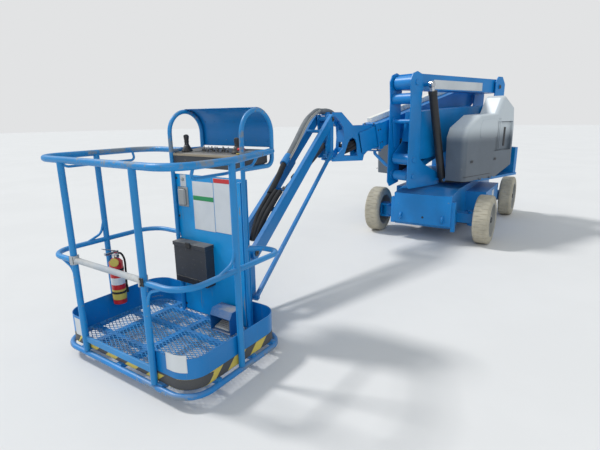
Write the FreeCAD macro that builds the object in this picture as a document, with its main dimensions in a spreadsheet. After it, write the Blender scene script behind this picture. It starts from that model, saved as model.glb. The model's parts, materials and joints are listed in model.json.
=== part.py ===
# Articulating boom lift: narrow electric machine, arms folded, jib lowered, platform near the ground.
# Millimetres, +Z up, +X towards the end that the boom points to, ground at Z = 0.
import FreeCAD, Part
import Sketcher
import math
import os
import re

Vector = FreeCAD.Vector
Z_AXIS = Vector(0, 0, 1)
Y_AXIS = Vector(0, 1, 0)
X_AXIS = Vector(1, 0, 0)

# Driving dimensions: name, value
SIZES = [
    ("origin_to_chassis_x", -1801), ("origin_to_chassis_y", 208),
    ("wheelbase", 1750), ("track_width", 1290), ("tyre_diameter", 559), ("tyre_width", 178),
    ("rim_diameter", 390), ("rim_plate", 12), ("hub_diameter", 130), ("tyre_shoulder", 34), ("tyre_round", 16),
    ("chassis_length", 2320), ("chassis_width", 670), ("chassis_bottom", 170), ("chassis_top", 600),
    ("chassis_nose_drop", 45), ("chassis_nose_run", 300), ("chassis_wall", 12), ("tie_rod_height", 200),
    ("lug_radius", 45), ("lug_plate", 20), ("lug_hole", 30), ("corner_block", 62), ("corner_block_width", 42),
    ("drive_diameter", 150),
    ("side_box_length", 900), ("side_box_width", 235), ("side_box_bottom", 215), ("side_box_top", 520),
    ("axle_height", 110), ("axle_depth", 120), ("kingpin_offset", 125), ("kingpin_diameter", 40),
    ("knuckle_height", 170), ("spindle_diameter", 50), ("steer_arm_length", 120), ("steer_arm_thick", 14),
    ("tie_rod_diameter", 28), ("running_gap", 0.3), ("wheel_gap", 6),
    ("bearing_diameter", 760), ("bearing_height", 30), ("deck_bottom", 662), ("deck_thick", 30),
    ("deck_rear", 730), ("deck_front", 540), ("deck_half_width", 640),
    ("riser_y", 120), ("riser_plate_y", 144), ("riser_plate", 12), ("arm_half_width", 118),
    ("base_pivot_x", -350), ("base_pivot_z", 1470), ("mid_pivot_x", 1150), ("lower_pivot_z", 950),
    ("link_drop", 190), ("link_side_gap", 6), ("top_pivot_z", 1800), ("rear_pivot_x", -620), ("arm_plate", 10),
    ("lower_arm_top_front", 1490), ("lower_arm_top_rear", 1556), ("lower_arm_deep", 880),
    ("upper_arm_depth", 170), ("pivot_diameter", 60), ("boss_diameter", 150), ("tube_diameter", 100),
    ("boom_y", -180), ("boom_pivot_x", -650), ("boom_pivot_z", 1800), ("boom_slope", 14.2),
    ("boom_width", 200), ("boom_height", 280), ("boom_drop", 74), ("boom_wall", 10),
    ("boom_rear", 90), ("boom_front", 2110), ("inner_width", 160), ("inner_height", 240), ("inner_wall", 8),
    ("inner_rear", 500), ("inner_front", 2370), ("slide_gap", 8), ("boom_travel", 1200),
    ("head_plate", 14), ("head_bottom", 1430), ("head_top", 1930),
    ("rotator_x", 2070), ("rotator_low", 1010), ("rotator_high", 1450), ("rotator_diameter", 130),
    ("head_tube_x", -715), ("eye_x", -500), ("eye_z", 1470),
    ("cyl_pin_x", 976), ("cyl_pin_z", 1778), ("cyl_foot_x", 667), ("cyl_foot_z", 686), ("cyl_y", 335),
    ("cyl_barrel_radius", 46), ("cyl_rod_radius", 26), ("cyl_pin_radius", 20), ("cyl_eye_radius", 38),
    ("boom_cyl_x", 1000), ("boom_cyl_drop", 260), ("boom_cyl_radius", 45), ("boom_rod_radius", 26),
    ("weight_height", 330), ("battery_length", 600), ("battery_start", 70), ("battery_height", 420), ("link_depth", 76),
    ("link_width", 80), ("mid_bottom", 622), ("lever_y", 124), ("lever_plate", 12), ("lever_ring", 44),
    ("boom_rest_x", 1310), ("boom_rest_z", 1050), ("hood_wall", 6), ("cyl_eye_width", 42),
    ("hood_inner_y", 420), ("hood_overhang", 20), ("hood_round", 55), ("hinge_radius", 7.5),
    ("hinge_length", 40),
    ("hinge_z", 697), ("hinge_rear_x", 100), ("hinge_front_x", 325),
    ("handle_place_x", -300), ("handle_place_z", 1010), ("handle_place_length", 390),
    ("handle_place_height", 350), ("handle_place_depth", 32),
    ("nose_plate", 12), ("nose_reach", 189), ("nose_half_width", 56), ("nose_pin_radius", 28), ("rotator_ear", 18),
    ("jib_plate", 14), ("jib_plate_y", 50), ("mount_pin_radius", 24),
    ("mount_low", 150), ("mount_high", 450), ("mount_tube_radius", 50), ("side_post_x", 15), ("entry_post_y", 316),
    ("toe_plate", 4), ("floor_plate", 3), ("cage_gap", 0.3),
    ("slew_angle", -19), ("jib_turn", 27.8), ("jib_slope", 29.6), ("jib_pivot_x", 120),
    ("jib_pivot_z", 1420), ("jib_length", 1925), ("jib_beam_y", 85), ("jib_beam_width", 36),
    ("jib_beam_height", 100), ("jib_link_drop", 360), ("jib_link_size", 32), ("jib_pin", 40),
    ("jib_cyl_foot_x", 20), ("jib_cyl_foot_drop", 270), ("jib_cyl_reach", 1120),
    ("jib_beam_deep", 66), ("jib_beam_step", 640), ("link_pin_radius", 14), ("jib_eye_pin", 16),
    ("mount_reach", 186.2), ("platform_turn", -10.17), ("platform_back", 143), ("platform_shift", -27),
    ("platform_depth", 790), ("platform_width", 1186), ("rail_diameter", 38), ("post_diameter", 37), ("rail_bend", 150),
    ("floor_height", 105), ("bumper_height", 73), ("bumper_radius", 17), ("floor_beam_depth", 30),
    ("toe_top", 276), ("sill_bottom", 152), ("sill_top", 188), ("sill_thick", 14),
    ("mid_rail_height", 661), ("mid_rail_radius", 16), ("mid_rail_inset", 25), ("top_rail_height", 1240),
    ("hoop_near_x", -300), ("hoop_far_x", -583), ("hoop_left_y", -237), ("hoop_right_y", 385),
    ("hoop_radius", 14), ("hoop_height", 1492), ("hoop_foot_z", 1150), ("hoop_foot_bend", 105),
    ("brace_reach", 140), ("brace_radius", 8), ("hand_rod_radius", 8), ("hand_rod_drop", 66),
    ("hand_rod_inset", 42), ("hand_rod_front", 262), ("hand_rod_near_gap", 240), ("hand_rod_far_gap", 130),
    ("mount_gap", 4), ("bracket_ear", 18), ("bracket_plate", 10), ("bracket_width", 260),
    ("panel_sheet", 3), ("panel_bottom", 112), ("panel_top", 1090), ("channel_width", 28),
    ("guard_low", 1262), ("console_low", 1141), ("console_edge", 1221), ("console_top", 1250),
    ("console_setback", 2), ("manual_reach", 62), ("manual_width", 300), ("manual_low", 355),
    ("manual_high", 640), ("manual_lid", 26), ("switch_y", 241), ("switch_width", 174),
    ("switch_length", 112), ("switch_height", 150), ("switch_wall", 6),
    ("bottle_radius", 45), ("bottle_low", 212), ("bottle_shoulder", 508), ("bar_radius", 17),
]


def build_sheet(doc):
    sheet = doc.addObject("Spreadsheet::Sheet", "Dims")
    for row, (name, value) in enumerate(SIZES, start=1):
        sheet.set("A%d" % row, name)
        sheet.set("B%d" % row, str(value))
        sheet.setAlias("B%d" % row, name)
    doc.recompute()
    return sheet


class Sizes:
    """The sheet's values as numbers, for pieces whose shape is worked out in code."""

    def __init__(self, sheet):
        for name, _ in SIZES:
            setattr(self, name, float(sheet.get(name)))


doc = FreeCAD.newDocument("boom_lift")
D = Sizes(build_sheet(doc))
NAMES = {name for name, _ in SIZES}
nodes = {}


def bind(obj, prop, text):
    """Bind a property to an expression, whose words are names in the sheet."""
    obj.setExpression(prop, re.sub(r"[a-z]\w*", lambda word: "Dims." + word.group() if word.group() in NAMES
                                   else word.group(), text))


def place(obj, x="0", y="0", z="0"):
    for axis, text in (("x", x), ("y", y), ("z", z)):
        if text != "0":
            bind(obj, "Placement.Base." + axis, text)


def box(name, size, corner):
    obj = doc.addObject("Part::Box", name)
    for prop, text in zip(("Length", "Width", "Height"), size):
        bind(obj, prop, text)
    place(obj, *corner)
    return obj


def rod(name, radius, length, middle, along="Y"):
    """A round bar centred on a point; its ends lie half its length each way."""
    obj = doc.addObject("Part::Cylinder", name)
    bind(obj, "Radius", radius)
    bind(obj, "Height", length)
    half = " - (" + length + ") / 2"
    x, y, z = middle
    if along == "Y":
        obj.Placement = FreeCAD.Placement(Vector(), FreeCAD.Rotation(X_AXIS, -90))
        place(obj, x, y + half, z)
    elif along == "X":
        obj.Placement = FreeCAD.Placement(Vector(), FreeCAD.Rotation(Y_AXIS, 90))
        place(obj, x + half, y, z)
    else:
        place(obj, x, y, z + half)
    return obj


def tube_of(name, outer, inner, length, middle, along="Y"):
    over = length + " + 2"
    return cut(name, rod(name + "_outer", outer, length, middle, along),
               [rod(name + "_inner", inner, over, middle, along)])


def outline_sketch(body, name, plane, points):
    """A sketch of one closed outline on a plane of the body, each corner held by two bound distances."""
    sketch = body.newObject("Sketcher::SketchObject", name)
    sketch.AttachmentSupport = [(plane, "")]
    sketch.MapMode = "FlatFace"
    count = len(points)
    guess = [Vector(100 * math.cos(0.1 + 2 * math.pi * i / count), 100 * math.sin(0.1 + 2 * math.pi * i / count), 0)
             for i in range(count)]
    sketch.addGeometry([Part.LineSegment(guess[i], guess[(i + 1) % count]) for i in range(count)], False)
    sketch.addConstraint([Sketcher.Constraint("Coincident", i, 2, (i + 1) % count, 1) for i in range(count)])
    for i, (across, up) in enumerate(points):
        for kind, value, text in (("DistanceX", guess[i].x, across), ("DistanceY", guess[i].y, up)):
            index = sketch.addConstraint(Sketcher.Constraint(kind, -1, 1, i, 1, value))
            bind(sketch, "Constraints[%d]" % index, text)
    return sketch


def profile(name, points, thick, y="0", plane="XZ_Plane"):
    """A plate: a closed outline on one of the body's planes, padded evenly to both sides."""
    body = doc.addObject("PartDesign::Body", name)
    base = [f for f in body.Origin.OriginFeatures if f.Role == plane][0]
    sketch = outline_sketch(body, name + "_sketch", base, points)
    pad = body.newObject("PartDesign::Pad", name + "_pad")
    pad.Profile = sketch
    pad.SideType = "Symmetric"
    bind(pad, "Length", thick)
    if plane == "XZ_Plane":
        place(body, y=y)
    else:
        place(body, z=y)
    return body


def fuse(name, pieces):
    """One object from several; a single piece is only wrapped, so that the wrapper can carry a placement."""
    if len(pieces) == 1:
        obj = doc.addObject("Part::Compound", name)
        obj.Links = pieces
        return obj
    obj = doc.addObject("Part::MultiFuse", name)
    obj.Shapes = pieces
    return obj


def cut(name, base, tools):
    obj = doc.addObject("Part::Cut", name)
    obj.Base = base
    obj.Tool = tools[0] if len(tools) == 1 else fuse(name + "_tools", tools)
    return obj


def code_shape(name, shape):
    obj = doc.addObject("Part::Feature", name)
    obj.Shape = shape
    return obj


def node(name, obj, placement):
    """Make the object one sub-part: its label is the node's name, and it gets its place in the machine."""
    if obj.ExpressionEngine and obj.TypeId != "Part::Feature" or not obj.Placement.isIdentity():
        obj = fuse(name + "_piece", [obj])
    obj.Label = name
    obj.Placement = placement
    nodes[name] = obj


def offset(x=0, y=0, z=0, turn=0, axis=Z_AXIS):
    return FreeCAD.Placement(Vector(x, y, z), FreeCAD.Rotation(axis, turn))


# Places of the machine's main frames
MACHINE = offset(D.origin_to_chassis_x, D.origin_to_chassis_y)
TURNTABLE = MACHINE.multiply(offset(turn=D.slew_angle))
BOOM = TURNTABLE.multiply(offset(D.boom_pivot_x, D.boom_y, D.boom_pivot_z)).multiply(
    offset(turn=D.boom_slope, axis=Y_AXIS))
JIB = TURNTABLE.multiply(offset(D.rotator_x, D.boom_y)).multiply(offset(turn=D.jib_turn))
MOUNT_X = D.jib_pivot_x + D.jib_length * math.cos(math.radians(D.jib_slope)) + D.mount_reach
PLATFORM = JIB.multiply(offset(MOUNT_X)).multiply(offset(turn=D.platform_turn))
CAGE = PLATFORM.multiply(offset(D.platform_back + D.platform_depth / 2, D.platform_shift))


def rounded_path(points, bend):
    """A wire of straight runs joined by arcs of one bend radius, or less where a run is short."""
    edges = []
    start = points[0]
    for i in range(1, len(points) - 1):
        before, corner, after = points[i - 1], points[i], points[i + 1]
        arrive = (corner - before).normalize()
        leave = (after - corner).normalize()
        turn = arrive.getAngle(leave)
        shortest = min((corner - before).Length, (after - corner).Length)
        trim = min(bend * math.tan(turn / 2), 0.49 * shortest)
        first, last = corner - arrive * trim, corner + leave * trim
        radius = trim / math.tan(turn / 2)
        inward = (leave - arrive).normalize()
        middle = corner + inward * (radius / math.cos(turn / 2) - radius)
        edges.append(Part.LineSegment(start, first).toShape())
        edges.append(Part.Arc(first, middle, last).toShape())
        start = last
    edges.append(Part.LineSegment(start, points[-1]).toShape())
    return Part.Wire(edges)


def bent_tube(points, radius, bend):
    return tube_along(rounded_path(points, bend), radius)


def tube_along(path, radius):
    first = path.Edges[0]
    direction = first.tangentAt(first.FirstParameter)
    ring = Part.Wire([Part.Circle(first.valueAt(first.FirstParameter), direction, radius).toShape()])
    sweep = Part.BRepOffsetAPI.MakePipeShell(path)
    sweep.setTransitionMode(0)
    sweep.add(ring)
    sweep.build()
    sweep.makeSolid()
    return sweep.shape()


def ring_tube(depth, width, height, radius, bend):
    """A closed rectangular loop of tube with rounded corners, centred on the platform."""
    x, y = depth / 2, width / 2
    corners = [Vector(x, 0, height), Vector(x, y, height), Vector(-x, y, height), Vector(-x, -y, height),
               Vector(x, -y, height), Vector(x, 0, height)]
    return bent_tube(corners, radius, bend)


def both_sides(maker):
    """Make a piece on the left and the same on the right: maker gets the side's name and its sign."""
    return [maker(side, sign) for side, sign in (("left", ""), ("right", "-"))]


def upright_plate(points, y, thick):
    """A plate standing along a frame's X: an x, z outline made thick evenly to both sides of y."""
    wire = Part.makePolygon([Vector(x, y - thick / 2, z) for x, z in points + points[:1]])
    return Part.Face(wire).extrude(Vector(0, thick, 0))


# Chassis, axles and wheels
def build_chassis():
    half = "chassis_length / 2"
    notch = "wheelbase / 2 - steer_arm_length"
    hull = profile("chassis_hull", [
        ("-" + half, "chassis_bottom + 60"), ("-" + half + " + 60", "chassis_bottom"),
        (notch + " - 60", "chassis_bottom"), (notch + " - 60", "tie_rod_height + 40"),
        (notch + " + 60", "tie_rod_height + 40"), (notch + " + 60", "chassis_bottom"),
        (half + " - 60", "chassis_bottom"), (half, "chassis_bottom + 40"),
        (half, "chassis_top - chassis_nose_drop"), (half + " - chassis_nose_run", "chassis_top"),
        ("-" + half + " + chassis_nose_run", "chassis_top"), ("-" + half, "chassis_top - chassis_nose_drop")],
        "chassis_width")
    inside = box("chassis_inside", (notch + " - 340 + wheelbase / 2",
                                    "chassis_width - 2 * chassis_wall", "chassis_top - chassis_bottom"),
                 ("-wheelbase / 2 + 250", "-chassis_width / 2 + chassis_wall", "chassis_bottom - chassis_wall"))
    shell = cut("chassis_shell", hull, [inside])

    def side_box(side, sign):
        end = "side_box_length / 2"
        return profile("side_box_" + side, [
            ("-" + end, "side_box_bottom + 60"), ("-" + end + " + 60", "side_box_bottom"),
            (end + " - 60", "side_box_bottom"), (end, "side_box_bottom + 60"), (end, "side_box_top"),
            ("-" + end, "side_box_top")], "side_box_width",
            y=sign + "(chassis_width + side_box_width) / 2")

    blocks = [box("corner_block_" + side, ("corner_block", "corner_block_width", high + " - " + low),
                  (half + " - corner_block - 15", y, low))
              for side, y, low, high in (("left", "chassis_width / 2", "150", "490"),
                                         ("right", "-chassis_width / 2 - corner_block_width", "186", "499"))]
    lugs = []
    for end, way in (("front", ""), ("rear", "-")):
        for side, sign in (("left", ""), ("right", "-")):
            name = "tie_down_" + end + "_" + side
            middle = (way + "(" + half + ")", sign + "(chassis_width / 2 - 90)", "chassis_bottom + 110")
            ear = rod(name + "_ear", "lug_radius", "lug_plate", middle)
            lugs.append(cut(name, ear, [rod(name + "_hole", "lug_hole / 2", "lug_plate + 2",
                                            (way + "(" + half + " + lug_radius / 3)", middle[1], middle[2]))]))
    node("chassis_frame", fuse("chassis_body", [shell] + both_sides(side_box) + blocks + lugs), MACHINE)
    node("slew_bearing", tube_of("bearing_lower", "bearing_diameter / 2", "bearing_diameter / 2 - 90",
                                 "bearing_height", ("0", "0", "chassis_top + bearing_height / 2"), "Z"), MACHINE)


def build_axles():
    height = "tyre_diameter / 2"
    king = "(track_width / 2 - kingpin_offset)"

    def front_stub(side, sign):
        start = "chassis_width / 2" if sign == "" else "-" + king
        beam = box("front_beam_" + side, ("axle_depth", king + " - chassis_width / 2", "axle_height"),
                   ("wheelbase / 2 - axle_depth / 2", start, height + " - axle_height / 2"))
        boss = rod("king_boss_" + side, "axle_depth / 2", "axle_height", ("wheelbase / 2", sign + king, height), "Z")
        pin = rod("king_pin_" + side, "kingpin_diameter / 2", "knuckle_height",
                  ("wheelbase / 2", sign + king, height), "Z")
        return fuse("front_stub_" + side, [beam, boss, pin])

    node("front_axle", fuse("front_axle_pieces", both_sides(front_stub)), MACHINE)

    def rear_stub(side, sign):
        wide = "track_width / 2 - chassis_width / 2 - 60"
        return rod("rear_drive_" + side, "drive_diameter / 2", wide,
                   ("-wheelbase / 2", sign + "(chassis_width / 2 + (" + wide + ") / 2)", height))

    def rear_spindle(side, sign):
        return rod("rear_spindle_" + side, "spindle_diameter / 2", "120",
                   ("-wheelbase / 2", sign + "(track_width / 2)", height))

    node("rear_axle", fuse("rear_axle_pieces", both_sides(rear_stub) + both_sides(rear_spindle)), MACHINE)

    def knuckle(side, sign):
        ear = "(knuckle_height - axle_height) / 2 - running_gap"
        pieces = []
        for level, up in (("top", ""), ("foot", "-")):
            middle = up + "(axle_height / 2 + running_gap + (" + ear + ") / 2)"
            reach = "axle_depth / 2 + 20"
            start = sign + king if sign == "" else "-" + king + " - (" + reach + ")"
            plate = box("knuckle_plate_" + level + "_" + side, ("axle_depth", reach, ear),
                        ("wheelbase / 2 - axle_depth / 2", start, height + " + " + middle + " - (" + ear + ") / 2"))
            round_end = rod("knuckle_round_" + level + "_" + side, "axle_depth / 2", ear,
                            ("wheelbase / 2", sign + king, height + " + " + middle), "Z")
            pieces += [plate, round_end]
        wall = box("knuckle_wall_" + side, ("axle_depth", "20 - running_gap", "knuckle_height"),
                   ("wheelbase / 2 - axle_depth / 2",
                    king + " + axle_depth / 2 + running_gap" if sign == "" else "-" + king + " - axle_depth / 2 - 20",
                    height + " - knuckle_height / 2"))
        inner_end = king + " + axle_depth / 2 + 10"
        outer_end = "track_width / 2 + 60"
        spindle = rod("front_spindle_" + side, "spindle_diameter / 2", outer_end + " - (" + inner_end + ")",
                      ("wheelbase / 2", sign + "(" + outer_end + " + " + inner_end + ") / 2", height))
        low = "tie_rod_height + running_gap"
        arm_high = height + " - knuckle_height / 2 - (" + low + ") + 12"
        arm = box("steer_arm_" + side, ("steer_arm_length + 25", "60", arm_high),
                  ("wheelbase / 2 - steer_arm_length - 25", sign + king + (" - 30"), low))
        hole = rod("king_hole_" + side, "kingpin_diameter / 2 + running_gap", "knuckle_height + 20",
                   ("wheelbase / 2", sign + king, height), "Z")
        solid = fuse("knuckle_solid_" + side, pieces + [wall, spindle, arm])
        node("knuckle_" + side, cut("knuckle_shape_" + side, solid, [hole]), MACHINE)

    both_sides(knuckle)
    rod_x = "wheelbase / 2 - steer_arm_length"
    bar = rod("tie_bar", "tie_rod_diameter / 2", "2 * " + king, (rod_x, "0", "tie_rod_height - tie_rod_diameter / 2"))
    node("tie_rod", bar, MACHINE)


def build_tyre(name, x, y):
    outer, inner, half = "tyre_diameter / 2", "rim_diameter / 2", "tyre_width / 2"
    body = doc.addObject("PartDesign::Body", name + "_body")
    plane = [f for f in body.Origin.OriginFeatures if f.Role == "XY_Plane"][0]
    axis = [f for f in body.Origin.OriginFeatures if f.Role == "Y_Axis"][0]
    section = outline_sketch(body, name + "_section", plane, [
        (inner, "-" + half), (outer + " - tyre_shoulder", "-" + half), (outer, "-" + half + " + tyre_round"),
        (outer, half + " - tyre_round"), (outer + " - tyre_shoulder", half), (inner, half)])
    turn = body.newObject("PartDesign::Revolution", name + "_round")
    turn.Profile = section
    turn.ReferenceAxis = (axis, [""])
    turn.Angle = 360
    doc.recompute()
    node(name, body, MACHINE.multiply(offset(x, y, D.tyre_diameter / 2)))


def build_rim(name, x, y, side):
    """A pressed wheel: barrel inside the tyre, dished plate set back from the outer face, hub."""
    r, half, plate = D.rim_diameter / 2, D.tyre_width / 2, D.rim_plate
    bore, hub = D.spindle_diameter / 2 + D.running_gap, D.hub_diameter / 2
    points = [(r, 4 - half), (r, half - 4), (r - 16, half - 4), (r - 24, half - 36), (hub, half - 44),
              (hub - 8, half - 20), (bore, half - 20), (bore, half - 96), (hub, half - 96), (hub + 20, half - 50 - plate),
              (r - plate, half - 44 - plate), (r - plate, 4 - half)]
    wire = Part.makePolygon([Vector(a, side * b, 0) for a, b in points + points[:1]])
    node(name, code_shape(name + "_turned", Part.Face(wire).revolve(Vector(), Y_AXIS, 360)),
         MACHINE.multiply(offset(x, y, D.tyre_diameter / 2)))


def build_wheels():
    for end, x in (("front", D.wheelbase / 2), ("rear", -D.wheelbase / 2)):
        for side, sign in (("left", 1), ("right", -1)):
            build_tyre("tyre_%s_%s" % (end, side), x, sign * D.track_width / 2)
            build_rim("rim_%s_%s" % (end, side), x, sign * D.track_width / 2, sign)


# Turntable, its covers and the folding arms
def build_turntable():
    deck = profile("deck_plate", [
        ("-deck_rear", "-300"), ("-deck_rear + 160", "-deck_half_width"), ("deck_front - 160", "-deck_half_width"),
        ("deck_front", "-380"), ("deck_front", "380"), ("deck_front - 160", "deck_half_width"),
        ("-deck_rear + 160", "deck_half_width"), ("-deck_rear", "300")], "deck_thick",
        y="deck_bottom + deck_thick / 2", plane="XY_Plane")
    ring = rod("bearing_upper", "bearing_diameter / 2 - 20", "deck_bottom - chassis_top - bearing_height - running_gap",
               ("0", "0", "(deck_bottom + chassis_top + bearing_height + running_gap) / 2"), "Z")
    knuckles = []
    reach = "(deck_half_width + hood_overhang) + running_gap + hinge_radius"
    for side, sign in (("left", ""), ("right", "-")):
        for end in ("rear", "front"):
            name, x = "hood_hinge_" + side + "_" + end, "hinge_" + end + "_x"
            start = "deck_half_width - 20" if sign == "" else "-(" + reach + ")"
            leaf = box(name + "_leaf", ("hinge_length", reach + " - deck_half_width + 20", "10"),
                       (x, start, "deck_bottom + deck_thick - 10"))
            knuckles += [leaf, rod(name, "hinge_radius", "hinge_length",
                                   (x + " + hinge_length / 2", sign + "(" + reach + ")", "hinge_z"), "X")]
    node("turntable_deck", fuse("deck_pieces", [deck, ring] + knuckles), TURNTABLE)

    def post(side, sign):
        return profile("riser_post_" + side, [
            ("base_pivot_x - 130", "deck_bottom + deck_thick"), ("base_pivot_x + 330", "deck_bottom + deck_thick"),
            ("base_pivot_x + 130", "base_pivot_z - 330"), ("base_pivot_x + 90", "base_pivot_z + 40"),
            ("base_pivot_x + 45", "base_pivot_z + 85"), ("base_pivot_x - 45", "base_pivot_z + 85"),
            ("base_pivot_x - 90", "base_pivot_z + 40"), ("base_pivot_x - 130", "base_pivot_z - 330")],
            "riser_plate", y="riser_y + " + sign + "riser_plate_y")

    pins = [pivot_pin("base_pin_" + level, "base_pivot_x", z, "riser_y", "riser_plate_y + riser_plate / 2 + 12")
            for level, z in (("top", "base_pivot_z"), ("low", "base_pivot_z - link_drop"))]
    back = box("riser_back", ("riser_plate", "2 * riser_plate_y", "base_pivot_z - deck_bottom - deck_thick - 330"),
               ("base_pivot_x - 130", "riser_y - riser_plate_y", "deck_bottom + deck_thick"))
    node("riser_post", fuse("riser_post_pieces", both_sides(post) + pins + [back]), TURNTABLE)

    weight = profile("weight_block", [
        ("-deck_rear + 10", "-290"), ("-deck_rear + 165", "-deck_half_width + 10"), ("-500", "-deck_half_width + 10"),
        ("-500", "deck_half_width - 10"), ("-deck_rear + 165", "deck_half_width - 10"), ("-deck_rear + 10", "290")],
        "weight_height", y="deck_bottom + deck_thick + weight_height / 2", plane="XY_Plane")
    node("counterweight", weight, TURNTABLE)

    def battery(side, sign):
        start = "hood_inner_y + 20" if sign == "" else "-(deck_half_width + hood_overhang) + 60"
        wide = "deck_half_width + hood_overhang - hood_inner_y - 80"
        return box("battery_" + side, ("battery_length", wide, "battery_height"),
                   ("battery_start", start, "deck_bottom + deck_thick"))

    node("battery_packs", fuse("battery_pair", both_sides(battery)), TURNTABLE)


def pivot_pin(name, x, z, y, half):
    return rod(name, "pivot_diameter / 2", "2 * (" + half + ")", (x, y, z))


def build_hood(side, sign):
    """A moulded cover, open below and towards the arms, higher at its rear, with a sunk handle place."""
    low, inner = D.deck_bottom + D.deck_thick + D.running_gap, D.hood_inner_y
    outer = D.deck_half_width + D.hood_overhang
    outline = [(730, low), (750, 1195), (700, 1300), (430, 1440), (70, 1455), (-40, 1640), (-100, 1665),
               (-330, 1535), (-372, 1300), (-378, 834), (30, low)]
    wall, sunk = D.hood_wall, D.handle_place_depth

    def moulding(inset, start, end):
        """The outline, drawn in by inset, from the arms' side outwards, with its outer edges rounded."""
        face = Part.Face(Part.makePolygon([Vector(x, sign * start, z) for x, z in outline + outline[:1]]))
        if inset:
            face = face.makeOffset2D(-inset)
        block = face.extrude(Vector(0, sign * (end - start), 0))
        edges = [edge for edge in block.Edges if edge.BoundBox.ZMax > skirt and
                 min(abs(edge.BoundBox.YMin), abs(edge.BoundBox.YMax)) > end - 1]
        return block.makeFillet(D.hood_round - inset, edges)

    def handle_place(grow):
        low_y = sign * outer - sunk - grow
        return Part.makeBox(D.handle_place_length + 2 * grow, 2 * (sunk + grow), D.handle_place_height + 2 * grow,
                            Vector(D.handle_place_x - grow, low_y, D.handle_place_z - grow))

    skirt = outline[-2][1] + 1
    space = moulding(wall, inner - 1, outer - wall).cut(handle_place(wall))
    below = space.translated(Vector(0, 0, -2 * wall))
    shell = moulding(0, inner, outer).cut([handle_place(0), space, below])
    hinge_y = outer + D.running_gap + D.hinge_radius
    length, leaf = D.hinge_length, D.hood_wall / 2
    for x in (D.hinge_rear_x, D.hinge_front_x):
        start = Vector(x + length + D.running_gap, sign * hinge_y, D.hinge_z)
        knuckle = Part.makeCylinder(D.hinge_radius, length, start, X_AXIS)
        strap = Part.makeBox(length, D.running_gap + leaf, 3 * D.hinge_radius,
                             Vector(start.x, sign * outer - (D.running_gap + leaf) * (sign < 0), D.hinge_z))
        shell = shell.fuse([knuckle, strap])
    node("hood_" + side, code_shape("hood_moulding_" + side, shell), TURNTABLE)


def arm_hole(name, x, z, y, half):
    return rod(name, "pivot_diameter / 2 + running_gap", "2 * (" + half + ") + 4", (x, y, z))


def arm_tube(name, radius, x, z, half):
    return rod(name, radius, "2 * (" + half + ")", (x, "riser_y", z))


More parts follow.
